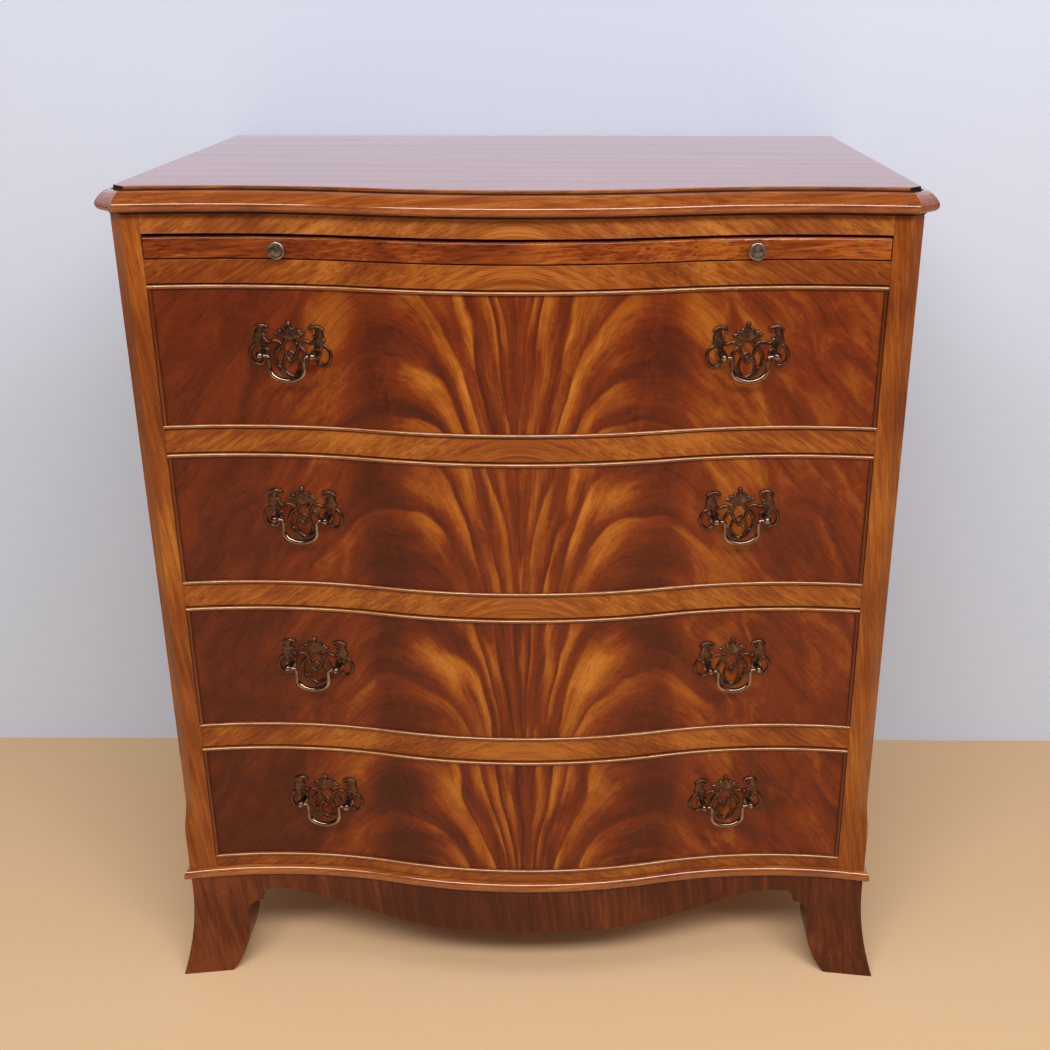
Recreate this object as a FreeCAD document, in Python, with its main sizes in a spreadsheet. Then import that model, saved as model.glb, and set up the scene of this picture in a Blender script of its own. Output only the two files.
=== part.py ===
import FreeCAD, Part
import math
import os
import Sketcher

Vector = FreeCAD.Vector
doc = FreeCAD.newDocument("serpentine_chest")

# Driving dimensions in millimetres
dimensions = {
    # plan of the carcase: a bowed centre between two hollows
    "carcase_width": 688,
    "carcase_depth": 483.5,
    "bow_radius": 552,
    "bow_half_width": 131,
    "hollow_radius": 492,
    # heights, from the floor up
    "foot_height": 112.5,
    "base_moulding_height": 11.5,
    "bottom_rail_height": 11,
    "drawer_opening_height": 129.5,
    "drawer_rail_height": 22,
    "slide_rail_height": 20.5,
    "slide_opening_height": 21.5,
    "top_rail_height": 19,
    "top_thickness": 20,
    # top and its moulded edge
    "top_overhang": 11.5,
    "top_fillet_height": 3.5,
    "top_moulding_width": 15.5,
    "thumbnail_radius": 10,
    "thumbnail_return": 6,
    # corner posts
    "post_cant": 14,
    "post_face_width": 12.5,
    "tongue_bottom": 40,
    "tongue_height": 36,
    # boards of the carcase
    "rail_depth": 75,
    "side_thickness": 18,
    "back_thickness": 6,
    "back_inset": 4,
    "base_board_thickness": 6,
    # base moulding
    "base_projection": 5,
    "base_frame_width": 22,
    "base_upper_round": 6,
    "base_lower_round": 4.5,
    # apron and feet
    "apron_thickness": 18,
    "apron_neck": 19.5,
    "apron_centre_drop": 31,
    "apron_flat": 77,
    "apron_bow_radius": 386,
    "apron_shoulder": 255,
    "apron_shoulder_radius": 110,
    "apron_slope": 16.2,
    "ear_radius": 15,
    "ear_step": 1.5,
    "cusp_radius": 12,
    "foot_width": 53,
    "foot_splay": 16,
    "foot_kick": 10,
    "foot_collar": 12.5,
    "sabre_height": 50,
    "sabre_radius": 75,
    "block_length": 40,
    "block_size": 18,
    # runners and stops
    "runner_width": 16,
    "runner_height": 14,
    "guide_height": 12,
    "stop_length": 30,
    "stop_width": 18,
    "stop_height": 6,
    "stop_clearance": 0.3,
    # drawers
    "drawer_gap": 0.9,
    "running_clearance": 0.3,
    "side_clearance": 1.2,
    "front_thickness": 20,
    "bead_thickness": 3.2,
    "bead_projection": 3,
    "bead_seat": 9,
    "bead_round": 1.5,
    "drawer_back_space": 43.5,
    "drawer_side_thickness": 9,
    "drawer_side_height": 112,
    "drawer_back_thickness": 9,
    "drawer_back_drop": 8,
    "drawer_bottom_thickness": 5,
    "drawer_bottom_rise": 10,
    "groove_depth": 4,
    "groove_clearance": 0.2,
    "glue_line": 0.05,
    # brushing slide
    "slide_thickness": 18.7,
    "slide_lip_depth": 25,
    "slide_lip_round": 2,
    "slide_lip_gap": 1.3,
    "slide_back_space": 93.5,
    "knob_spread": 201.3,
    "knob_radius": 7.8,
    "knob_length": 14,
    "knob_neck_radius": 3.4,
    "knob_foot_radius": 5,
    "knob_rim": 3,
    # handles
    "handle_spread": 199.2,
    "handle_height": 69.8,
    "post_spacing": 46.5,
    "plate_thickness": 2,
    "plate_clearance": 0.05,
    "stem_radius": 3,
    "stem_clearance": 0.1,
    "rose_radius": 4.6,
    "rose_thickness": 2.2,
    "neck_radius": 2.6,
    "ball_radius": 3.9,
    "bail_standoff": 14,
    "nut_radius": 5.6,
    "nut_thickness": 4,
    "stem_end": 1.5,
    "bail_wire_radius": 1.6,
    "bail_pin_clearance": 0.05,
    "bail_pin_depth": 1.2,
    "bail_arm": 15.4,
    "bail_elbow": 2.8,
    "bail_shoulder": 12,
    "bail_corner_radius": 8.5,
    "bail_corner_turn": 72,
}
drawerCount = 4

sheet = doc.addObject("Spreadsheet::Sheet", "dims")
for row, (alias, size) in enumerate(dimensions.items(), start=1):
    sheet.set(f"A{row}", str(size))
    sheet.setAlias(f"A{row}", alias)
doc.recompute()

# Places that follow from the driving dimensions
places = {
    "half_width": "dims.carcase_width / 2",
    "face_y": "(dims.top_overhang - dims.carcase_depth) / 2",
    "back_y": "face_y + dims.carcase_depth",
    "rail_back_y": "face_y + dims.rail_depth",
    "panel_y": "back_y - dims.back_inset - dims.back_thickness",
    "bow_y": "face_y + dims.bow_radius",
    "bow_cosine": "sqrt(dims.bow_radius^2 - dims.bow_half_width^2) / dims.bow_radius",
    "hollow_x": "(dims.bow_radius + dims.hollow_radius) * dims.bow_half_width / dims.bow_radius",
    "hollow_y": "bow_y - (dims.bow_radius + dims.hollow_radius) * bow_cosine",
    "opening_half": "half_width - dims.post_cant - dims.post_face_width",
    "corner_y": "hollow_y + sqrt(dims.hollow_radius^2 - (half_width - dims.post_cant - hollow_x)^2)",
    "square_y": "hollow_y + sqrt(dims.hollow_radius^2 - (half_width - hollow_x)^2)",
    "carcase_z": "dims.foot_height + dims.base_moulding_height",
    "opening_z": "carcase_z + dims.bottom_rail_height",
    "drawer_pitch": "dims.drawer_opening_height + dims.drawer_rail_height",
    "slide_rail_z": f"opening_z + {drawerCount} * drawer_pitch - dims.drawer_rail_height",
    "slide_z": "slide_rail_z + dims.slide_rail_height",
    "top_rail_z": "slide_z + dims.slide_opening_height",
    "top_z": "top_rail_z + dims.top_rail_height",
    "arch_z": "dims.foot_height - dims.apron_neck",
    "foot_inner": "half_width - dims.foot_width",
    "foot_inner_y": "hollow_y + sqrt(dims.hollow_radius^2 - (foot_inner - hollow_x)^2)",
    "foot_rear_y": "square_y + dims.foot_width",
    "sabre_toe": "dims.sabre_radius - sqrt(dims.sabre_radius^2 - dims.sabre_height^2)",
    "bead_half": "opening_half - dims.drawer_gap",
    "side_outer": "opening_half - dims.side_clearance",
    "side_inner": "side_outer - dims.drawer_side_thickness",
    "plate_sag": "dims.hollow_radius"
                 " - sqrt(dims.hollow_radius^2 - (dims.post_spacing / 2 + dims.rose_radius)^2)",
    "drawer_end_y": "panel_y - dims.drawer_back_space",
    "slide_end_y": "panel_y - dims.slide_back_space",
}
layout = doc.addObject("App::VarSet", "layout")
for name, text in places.items():
    layout.addProperty("App::PropertyFloat", name)
    layout.setExpression(name, text)
gauge = doc.addObject("App::VarSet", "gauge")
gauge.addProperty("App::PropertyFloat", "reading")
doc.recompute()


# The present value of an expression
def number(text):
    gauge.setExpression("reading", text)
    gauge.recompute()
    return gauge.reading


# An arc from start to end whose centre lies on the given side of the way travelled
def bentRun(start, end, radius, side):
    chord = end - start
    leftward = Vector(-chord.y, chord.x, 0).normalize()
    reach = math.sqrt(max(radius ** 2 - (chord.Length / 2) ** 2, 0))
    centre = (start + end) * 0.5 + leftward * (reach if side == "left" else -reach)
    first, last = (start, end) if side == "left" else (end, start)
    firstAngle = math.atan2(first.y - centre.y, first.x - centre.x)
    lastAngle = math.atan2(last.y - centre.y, last.x - centre.x)
    if lastAngle < firstAngle:
        lastAngle += 2 * math.pi
    arc = Part.ArcOfCircle(Part.Circle(centre, Vector(0, 0, 1), radius), firstAngle, lastAngle)
    return arc, ((1, 2) if side == "left" else (2, 1))


# Lines and arcs through bound corners; each corner is x, y and the bend of the run that leaves it
def outline(sketch, corners, closed=True):
    points = [Vector(number(x), number(y), 0) for x, y, bend in corners]
    runs = len(points) if closed else len(points) - 1
    ends = []
    for i in range(runs):
        start, end, bend = points[i], points[(i + 1) % len(points)], corners[i][2]
        if bend is None:
            sketch.addGeometry(Part.LineSegment(start, end), False)
            ends.append((1, 2))
        else:
            arc, order = bentRun(start, end, number(bend[0]), bend[1])
            sketch.addGeometry(arc, False)
            ends.append(order)
    for i in range(runs):
        if closed or i + 1 < runs:
            following = (i + 1) % runs
            joint = Sketcher.Constraint("Coincident", i, ends[i][1], following, ends[following][0])
            sketch.addConstraint(joint)
        placeCorner(sketch, i, ends[i][0], corners[i], points[i])
        if corners[i][2] is not None:
            bindRule(sketch, "Radius", (i,), corners[i][2][0])
    if not closed:
        placeCorner(sketch, runs - 1, ends[-1][1], corners[-1], points[-1])


# Hold one corner of a sketch at its bound place
def placeCorner(sketch, run, end, corner, point):
    verticalAxis, horizontalAxis = -2, -1
    across, upward = corner[:2]
    for text, kind, axis in ((across, "DistanceX", verticalAxis), (upward, "DistanceY", horizontalAxis)):
        if text == "0":
            sketch.addConstraint(Sketcher.Constraint("PointOnObject", run, end, axis))
        else:
            bindRule(sketch, kind, (run, end), text)


# A constraint whose value is an expression
def bindRule(sketch, kind, target, text):
    index = sketch.addConstraint(Sketcher.Constraint(kind, *target, number(text)))
    sketch.setExpression(f"Constraints[{index}]", text)


def newBody(name):
    return doc.addObject("PartDesign::Body", name)


def originOf(body, role):
    return next(item for item in body.Origin.OriginFeatures if item.Role == role)


# A sketch on one of the body's own planes, moved along the plane's normal
def sketchOn(body, plane, lift, corners, closed=True):
    sketch = body.newObject("Sketcher::SketchObject", body.Name + "_sketch")
    sketch.AttachmentSupport = [(originOf(body, plane), "")]
    sketch.MapMode = "FlatFace"
    sketch.setExpression("AttachmentOffset.Base.z", lift)
    outline(sketch, corners, closed)
    return sketch


def pad(body, sketch, length):
    feature = body.newObject("PartDesign::Pad", body.Name + "_pad")
    feature.Profile = sketch
    feature.setExpression("Length", length)
    doc.recompute()
    return feature


# A cut to both sides of its sketch, which has to take material away
def pocket(body, sketch, length):
    before = body.Shape.Volume
    feature = body.newObject("PartDesign::Pocket", body.Name + "_pocket")
    feature.Profile = sketch
    feature.SideType = "Symmetric"
    feature.setExpression("Length", length)
    doc.recompute()
    if body.Shape.Volume >= before:
        raise RuntimeError(body.Name + ": the pocket cut nothing")
    return feature


def roundEdges(body, feature, chosen, radius):
    names = [f"Edge{i}" for i, edge in enumerate(feature.Shape.Edges, start=1) if chosen(edge)]
    rounded = body.newObject("PartDesign::Fillet", body.Name + "_round")
    rounded.Base = (feature, names)
    rounded.setExpression("Radius", radius)
    doc.recompute()
    return rounded


def setPlace(item, x="0", y="0", z="0"):
    for axis, text in (("x", x), ("y", y), ("z", z)):
        item.setExpression(f"Placement.Base.{axis}", text)


def box(name, length, width, height, x, y, z):
    item = doc.addObject("Part::Box", name)
    item.setExpression("Length", length)
    item.setExpression("Width", width)
    item.setExpression("Height", height)
    setPlace(item, x, y, z)
    return item


def mirrored(name, source):
    item = doc.addObject("Part::Mirroring", name)
    item.Source = source
    item.Normal = Vector(1, 0, 0)
    return item


def group(name, pieces, z="0"):
    item = doc.addObject("Part::Compound", name)
    item.Links = pieces
    setPlace(item, z=z)
    return item


def cut(name, base, tool):
    item = doc.addObject("Part::Cut", name)
    item.Base = base
    item.Tool = tool
    return item


# A piece drawn about a point of the right-hand hollow, turned square to the face there
def setOnHollow(name, pieces, spread, z="0"):
    item = doc.addObject("Part::Compound", name)
    item.Links = pieces
    item.Placement = FreeCAD.Placement(Vector(0, 0, 0), FreeCAD.Rotation(Vector(0, 0, 1), 1))
    setPlace(item, spread, faceY(spread, "0"), z)
    item.setExpression("Placement.Rotation.Angle", f"asin((layout.hollow_x - {spread}) / dims.hollow_radius)")
    return item


# Depth of the hollow at a given x, for a face moved forward by an offset
def faceY(x, offset):
    return f"(layout.hollow_y + sqrt((dims.hollow_radius - ({offset}))^2 - (({x}) - layout.hollow_x)^2))"


# The serpentine front from left to right, as four corners and three tangent arcs
def serpentine(offset, half):
    bow = f"dims.bow_radius + ({offset})"
    hollow = f"dims.hollow_radius - ({offset})"
    joinX = f"dims.bow_half_width * ({bow}) / dims.bow_radius"
    joinY = f"layout.bow_y - ({bow}) * layout.bow_cosine"
    endY = faceY(half, offset)
    return [
        (f"-({half})", endY, (hollow, "right")),
        (f"-({joinX})", joinY, (bow, "left")),
        (joinX, joinY, (hollow, "right")),
        (half, endY, None),
    ]


# A run of corners travelled the other way
def turnedBack(corners):
    opposite = {"left": "right", "right": "left"}
    result = []
    for i in range(len(corners) - 1, -1, -1):
        bend = corners[i - 1][2] if i > 0 else None
        if bend is not None:
            bend = (bend[0], opposite[bend[1]])
        result.append((corners[i][0], corners[i][1], bend))
    return result


# A curved strip between two offsets of the serpentine
def strip(front, back, half):
    return serpentine(front, half) + turnedBack(serpentine(back, half))


# A board with a serpentine front and a straight back
def board(front, half, back):
    return serpentine(front, half) + [(half, back, None), (f"-({half})", back, None)]


# The carcase plan with its canted corners, grown by an offset
def cantedPlan(offset, back):
    cantShift = f"({offset}) * (sqrt(2) - 1)"
    half = f"layout.half_width - dims.post_cant + {cantShift}"
    side = f"layout.half_width + ({offset})"
    cantY = f"layout.corner_y + dims.post_cant - {cantShift}"
    return serpentine(offset, half) + [
        (side, cantY, None),
        (side, back, None),
        (f"-({side})", back, None),
        (f"-({side})", cantY, None),
    ]


def onPlane(edge, z):
    return abs(edge.BoundBox.ZMin - z) < 0.01 and abs(edge.BoundBox.ZMax - z) < 0.01


def alongBack(edge):
    return edge.BoundBox.YMin > layout.back_y - 0.01


# Rim edges of a horizontal face, all but the one at the back
def rimAt(z):
    return lambda edge: onPlane(edge, z) and not alongBack(edge)


# Edges of an offset serpentine face
def frontEdges(offset, z):
    radii = (dims("bow_radius") + offset, dims("hollow_radius") - offset)

    def chosen(edge):
        round_ = isinstance(edge.Curve, Part.Circle)
        return round_ and onPlane(edge, z) and any(abs(edge.Curve.Radius - r) < 0.01 for r in radii)

    return chosen


def dims(alias):
    return float(sheet.get(alias))


beyondBack = "layout.back_y + dims.back_inset"

# Top board and its moulded edge
topInset = "dims.top_overhang - dims.top_moulding_width"
top = newBody("top_board")
topPlan = sketchOn(top, "XY_Plane", "layout.top_z", cantedPlan(topInset, "layout.back_y"))
pad(top, topPlan, "dims.top_thickness")

edging = newBody("top_edge_moulding")
edgingHeight = "dims.top_thickness - dims.top_fillet_height"
edgingPlan = sketchOn(edging, "XY_Plane", "layout.top_z", cantedPlan("dims.top_overhang", "layout.back_y"))
edgingBlank = pad(edging, edgingPlan, edgingHeight)
edgingTop = number(f"layout.top_z + {edgingHeight}")
edgingRound = roundEdges(edging, edgingBlank, rimAt(edgingTop), "dims.thumbnail_radius")
roundEdges(edging, edgingRound, rimAt(layout.top_z), "dims.thumbnail_return")
edgingBore = sketchOn(edging, "XY_Plane", "layout.top_z", cantedPlan(topInset, beyondBack))
pocket(edging, edgingBore, "3 * dims.top_thickness")

# Side panels, back and base board
innerHalf = "(layout.half_width - dims.side_thickness)"
carcaseHeight = "layout.top_z - layout.carcase_z"
sideDepth = "layout.back_y - layout.rail_back_y"
rightSide = box("right_side_panel", "dims.side_thickness", sideDepth, carcaseHeight,
                innerHalf, "layout.rail_back_y", "layout.carcase_z")
leftSide = mirrored("left_side_panel", rightSide)
backPanel = box("back_panel", f"2 * {innerHalf}", "dims.back_thickness", carcaseHeight,
                f"-{innerHalf}", "layout.panel_y", "layout.carcase_z")
baseBoard = box("base_board", f"2 * {innerHalf}", "layout.panel_y - layout.rail_back_y",
                "dims.base_board_thickness", f"-{innerHalf}", "layout.rail_back_y", "layout.carcase_z")

# Corner posts, canted down to a lamb's-tongue stop
rightPost = newBody("right_corner_post")
postPlan = [
    ("layout.opening_half", faceY("layout.opening_half", "0"), None),
    ("layout.half_width", "layout.square_y", None),
    ("layout.half_width", "layout.rail_back_y", None),
    ("layout.opening_half", "layout.rail_back_y", None),
]
pad(rightPost, sketchOn(rightPost, "XY_Plane", "layout.carcase_z", postPlan), carcaseHeight)
cantDepth = "dims.post_cant / sqrt(2)"
tongueZ = "layout.carcase_z + dims.tongue_bottom"
tongueRadius = f"((dims.tongue_height / 2)^2 + ({cantDepth} / 2)^2) / ({cantDepth})"
cantTop = "layout.top_z + dims.post_cant"
cantProfile = [
    ("0", tongueZ, (tongueRadius, "left")),
    (f"-({cantDepth}) / 2", f"{tongueZ} + dims.tongue_height / 2", (tongueRadius, "right")),
    (f"-({cantDepth})", f"{tongueZ} + dims.tongue_height", None),
    (f"-({cantDepth})", cantTop, None),
    ("dims.post_cant", cantTop, None),
    ("dims.post_cant", tongueZ, None),
]
cantSketch = sketchOn(rightPost, "XZ_Plane", "-layout.square_y", cantProfile)
cantSketch.AttachmentOffset = FreeCAD.Placement(Vector(0, 0, 0), FreeCAD.Rotation(Vector(0, 1, 0), -45))
cantSketch.setExpression("AttachmentOffset.Base.x", "layout.half_width")
cantSketch.setExpression("AttachmentOffset.Base.z", "-layout.square_y")
pocket(rightPost, cantSketch, "4 * dims.post_cant")
leftPost = mirrored("left_corner_post", rightPost)


# A rail between the posts, serpentine in front and straight behind
def rail(name, z, height):
    body = newBody(name)
    pad(body, sketchOn(body, "XY_Plane", z, board("0", "layout.opening_half", "layout.rail_back_y")), height)
    return body


topRail = rail("top_rail", "layout.top_rail_z", "dims.top_rail_height")
slideRail = rail("slide_rail", "layout.slide_rail_z", "dims.slide_rail_height")
bottomRail = rail("bottom_rail", "layout.carcase_z", "dims.bottom_rail_height")
openingZ = [f"(layout.opening_z + {above} * layout.drawer_pitch)" for above in reversed(range(drawerCount))]
dividers = [rail(f"divider_{i}", f"{z} - dims.drawer_rail_height", "dims.drawer_rail_height")
            for i, z in enumerate(openingZ[:-1], start=1)]
drawerRails = group("drawer_rails", dividers)


# A runner with its guide strip, under the right-hand side of a drawer
def runner(name, z, height):
    body = newBody(name)
    inner = "layout.opening_half - dims.runner_width"
    section = [
        (inner, f"{z} - ({height})", None),
        (innerHalf, f"{z} - ({height})", None),
        (innerHalf, f"{z} + dims.guide_height", None),
        ("layout.opening_half", f"{z} + dims.guide_height", None),
        ("layout.opening_half", z, None),
        (inner, z, None),
    ]
    sketch = sketchOn(body, "XZ_Plane", "-layout.panel_y", section)
    pad(body, sketch, "layout.panel_y - layout.rail_back_y")
    return [body, mirrored(name + "_left", body)]


runners = []
for i, z in enumerate(openingZ, start=1):
    lowest = i == drawerCount
    legHeight = "dims.bottom_rail_height - dims.base_board_thickness" if lowest else "dims.runner_height"
    runners += runner(f"runner_{i}", z, legHeight)
drawerRunners = group("drawer_runners", runners)
slideBearers = group("slide_bearers", runner("slide_bearer", "layout.slide_z", "dims.runner_height"))

# Stops on the rails, just behind the closed drawer fronts
stops = []
for i, z in enumerate(openingZ, start=1):
    stop = box(f"stop_{i}", "dims.stop_length", "dims.stop_width", "dims.stop_height",
               "layout.hollow_x - dims.stop_length / 2",
               faceY("layout.hollow_x", "-dims.front_thickness") + " + dims.stop_clearance", z)
    stops += [stop, mirrored(f"stop_{i}_left", stop)]
drawerStops = group("drawer_stops", stops)

# Base moulding round the front and sides
baseMoulding = newBody("base_moulding")
baseHalf = "layout.half_width + dims.base_projection"
basePlan = sketchOn(baseMoulding, "XY_Plane", "dims.foot_height",
                    board("dims.base_projection", baseHalf, "layout.back_y"))
baseBlank = pad(baseMoulding, basePlan, "dims.base_moulding_height")
baseRound = roundEdges(baseMoulding, baseBlank, rimAt(layout.carcase_z), "dims.base_upper_round")
roundEdges(baseMoulding, baseRound, rimAt(dims("foot_height")), "dims.base_lower_round")
baseBore = sketchOn(baseMoulding, "XY_Plane", "dims.foot_height",
                    board("-dims.base_frame_width", "layout.half_width - dims.base_frame_width", beyondBack))
pocket(baseMoulding, baseBore, "4 * dims.base_moulding_height")

# Front apron: an ogee drop in the middle and a double cove beside each foot
apron = newBody("front_apron")
apronPlan = sketchOn(apron, "XY_Plane", "0", strip("0", "-dims.apron_thickness", "layout.foot_inner"))
pad(apron, apronPlan, "dims.foot_height")
earX = "(layout.foot_inner - dims.ear_radius)"
earTop = "layout.arch_z - dims.cusp_radius - dims.ear_step"
slope = "dims.apron_slope * 1deg"
shoulderX = f"dims.apron_shoulder - dims.apron_shoulder_radius * sin({slope})"
shoulderZ = f"layout.arch_z - dims.apron_shoulder_radius * (1 - cos({slope}))"
bowX = f"dims.apron_flat + dims.apron_bow_radius * sin({slope})"
bowLowZ = "layout.arch_z - dims.apron_centre_drop"
bowZ = f"{bowLowZ} + dims.apron_bow_radius * (1 - cos({slope}))"
archRight = [
    ("dims.apron_flat", bowLowZ, ("dims.apron_bow_radius", "left")),
    (bowX, bowZ, None),
    (shoulderX, shoulderZ, ("dims.apron_shoulder_radius", "right")),
    ("dims.apron_shoulder", "layout.arch_z", None),
    (f"{earX} - dims.cusp_radius", "layout.arch_z", ("dims.cusp_radius", "right")),
    (earX, "layout.arch_z - dims.cusp_radius", None),
    (earX, earTop, ("dims.ear_radius", "right")),
    ("layout.foot_inner", f"{earTop} - dims.ear_radius", None),
]
archLeft = [(f"-({x})", z, bend) for x, z, bend in turnedBack(archRight)]
otherHand = {"left": "right", "right": "left"}
archLeft = [(x, z, bend and (bend[0], otherHand[bend[1]])) for x, z, bend in archLeft]
belowFloor = "-dims.ear_radius"
archEnds = [("layout.foot_inner", belowFloor, None), ("-layout.foot_inner", belowFloor, None)]
archSketch = sketchOn(apron, "XZ_Plane", "0", archLeft + archRight + archEnds)
pocket(apron, archSketch, "4 * dims.carcase_depth")


# Outline of a foot seen from the front: sabre-curved inside, splayed outside
def footFront():
    flare = "dims.foot_height - dims.foot_collar"
    return [
        ("layout.foot_inner", "dims.foot_height", None),
        ("layout.foot_inner", "dims.sabre_height", ("dims.sabre_radius", "left")),
        ("layout.foot_inner + layout.sabre_toe", "0", None),
        ("layout.half_width + dims.foot_splay", "0",
         (f"(({flare})^2 + dims.foot_splay^2) / (2 * dims.foot_splay)", "right")),
        ("layout.half_width", flare, None),
        ("layout.half_width", "dims.foot_height", None),
    ]


# Front foot: the front outline met by a side outline that follows the serpentine
footBlank = newBody("front_foot_blank")
footReach = "2 * dims.foot_width"
pad(footBlank, sketchOn(footBlank, "XZ_Plane", "-layout.foot_rear_y", footFront()), footReach)
kickFlare = "dims.foot_height - dims.foot_collar"
footSide = [
    ("layout.foot_inner_y", "dims.foot_height", None),
    ("layout.foot_inner_y", kickFlare,
     (f"(({kickFlare})^2 + dims.foot_kick^2) / (2 * dims.foot_kick)", "right")),
    ("layout.foot_inner_y - dims.foot_kick", "0", None),
    ("layout.foot_rear_y - layout.sabre_toe", "0", ("dims.sabre_radius", "left")),
    ("layout.foot_rear_y", "dims.sabre_height", None),
    ("layout.foot_rear_y", "dims.foot_height", None),
]
footSweep = newBody("front_foot_sweep")
sweepSketch = sketchOn(footSweep, "YZ_Plane", "layout.foot_inner", footSide)
footSweepPad = footSweep.newObject("PartDesign::Pad", "front_foot_sweep_pad")
footSweepPad.Profile = sweepSketch
footSweepPad.UseCustomVector = True
footSweepPad.AlongSketchNormal = True
footSweepPad.setExpression("Direction.x", "1")
footSweepPad.setExpression("Direction.y", "(layout.square_y - layout.foot_inner_y) / dims.foot_width")
footSweepPad.setExpression("Direction.z", "0")
footSweepPad.setExpression("Length", footReach)
doc.recompute()
rightFrontFoot = doc.addObject("Part::Common", "right_front_foot")
rightFrontFoot.Base = footBlank
rightFrontFoot.Tool = footSweep
frontFeet = group("front_feet", [rightFrontFoot, mirrored("left_front_foot", rightFrontFoot)])

# Rear foot: the same splay to the side, flat at the wall
rearFoot = newBody("right_rear_foot")
rearFrontY = "layout.back_y - dims.foot_width"
pad(rearFoot, sketchOn(rearFoot, "XZ_Plane", "-layout.back_y", footFront()), "dims.foot_width")
rearCove = [
    (rearFrontY, "dims.sabre_height", ("dims.sabre_radius", "left")),
    (f"{rearFrontY} + layout.sabre_toe", "0", None),
    (f"{rearFrontY} - layout.sabre_toe", "0", None),
    (f"{rearFrontY} - layout.sabre_toe", "dims.sabre_height", None),
]
pocket(rearFoot, sketchOn(rearFoot, "YZ_Plane", "0", rearCove), "4 * layout.half_width")
rearFeet = group("rear_feet", [rearFoot, mirrored("left_rear_foot", rearFoot)])

# Side aprons between the feet
sideApron = newBody("right_side_apron")
earEnd = "layout.foot_rear_y + dims.ear_radius"
rearEarEnd = f"{rearFrontY} - dims.ear_radius"
sideApronOutline = [
    ("layout.foot_rear_y", "dims.foot_height", None),
    ("layout.foot_rear_y", f"{earTop} - dims.ear_radius", ("dims.ear_radius", "right")),
    (earEnd, earTop, None),
    (earEnd, "layout.arch_z - dims.cusp_radius", ("dims.cusp_radius", "right")),
    (f"{earEnd} + dims.cusp_radius", "layout.arch_z", None),
    (f"{rearEarEnd} - dims.cusp_radius", "layout.arch_z", ("dims.cusp_radius", "right")),
    (rearEarEnd, "layout.arch_z - dims.cusp_radius", None),
    (rearEarEnd, earTop, ("dims.ear_radius", "right")),
    (rearFrontY, f"{earTop} - dims.ear_radius", None),
    (rearFrontY, "dims.foot_height", None),
]
pad(sideApron, sketchOn(sideApron, "YZ_Plane", "layout.half_width - dims.apron_thickness", sideApronOutline),
    "dims.apron_thickness")
sideAprons = group("side_aprons", [sideApron, mirrored("left_side_apron", sideApron)])

# Glue blocks behind the apron, under the base moulding
blockZ = "dims.foot_height - dims.block_size"
rightBlock = box("block_right", "dims.block_length", "dims.block_size", "dims.block_size",
                 "layout.hollow_x - dims.block_length / 2", faceY("layout.hollow_x", "-dims.apron_thickness"),
                 blockZ)
centreBlockY = (f"layout.bow_y - sqrt((dims.bow_radius - dims.apron_thickness)^2"
                f" - (dims.block_length / 2)^2)")
centreBlock = box("block_centre", "dims.block_length", "dims.block_size", "dims.block_size",
                  "-dims.block_length / 2", centreBlockY, blockZ)
glueBlocks = group("glue_blocks", [rightBlock, centreBlock, mirrored("block_left", rightBlock)])

# Brushing slide: board, front edge and knobs
slideHalf = "layout.bead_half"
slideBase = "layout.slide_z + dims.running_clearance"
slideLip = newBody("slide_front_edge")
slideLipBase = "layout.slide_z + dims.slide_lip_gap"
slideLipHeight = "dims.slide_thickness + dims.running_clearance - dims.slide_lip_gap"
slideLipPlan = sketchOn(slideLip, "XY_Plane", slideLipBase, strip("0", "-dims.slide_lip_depth", slideHalf))
slideLipPad = pad(slideLip, slideLipPlan, slideLipHeight)
slideLipTop = number(f"{slideBase} + dims.slide_thickness")
roundEdges(slideLip, slideLipPad, frontEdges(0, slideLipTop), "dims.slide_lip_round")
slideBoard = newBody("slide_board")
slideBoardPlan = sketchOn(slideBoard, "XY_Plane", slideBase,
                          board("-dims.slide_lip_depth", slideHalf, "layout.slide_end_y"))
pad(slideBoard, slideBoardPlan, "dims.slide_thickness")


# A body turned about its own Y axis
def turned(name, profile):
    body = newBody(name)
    sketch = sketchOn(body, "XY_Plane", "0", profile)
    feature = body.newObject("PartDesign::Revolution", name + "_turning")
    feature.Profile = sketch
    feature.ReferenceAxis = (originOf(body, "Y_Axis"), [""])
    feature.Angle = 360
    doc.recompute()
    return body


knobRimY = "dims.knob_length - dims.knob_rim"
knobProfile = [
    ("0", "-dims.plate_clearance", None),
    ("0", "-dims.knob_length", None),
    ("dims.knob_radius - dims.knob_rim / 2", "-dims.knob_length", ("dims.knob_rim / 2", "left")),
    ("dims.knob_radius", "-dims.knob_length + dims.knob_rim / 2", ("dims.knob_rim / 2", "left")),
    ("dims.knob_radius - dims.knob_rim / 2", f"-({knobRimY})", None),
    ("dims.knob_neck_radius", f"-({knobRimY}) + dims.knob_rim / 2", None),
    ("dims.knob_neck_radius", "-dims.knob_rim", None),
    ("dims.knob_foot_radius", "-dims.knob_rim / 2", None),
    ("dims.knob_foot_radius", "-dims.plate_clearance", None),
]
knob = turned("knob", knobProfile)
rightKnob = setOnHollow("right_knob", [knob], "dims.knob_spread", f"{slideBase} + dims.slide_thickness / 2")
slideKnobs = group("slide_knobs", [rightKnob, mirrored("left_knob", rightKnob)])

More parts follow.
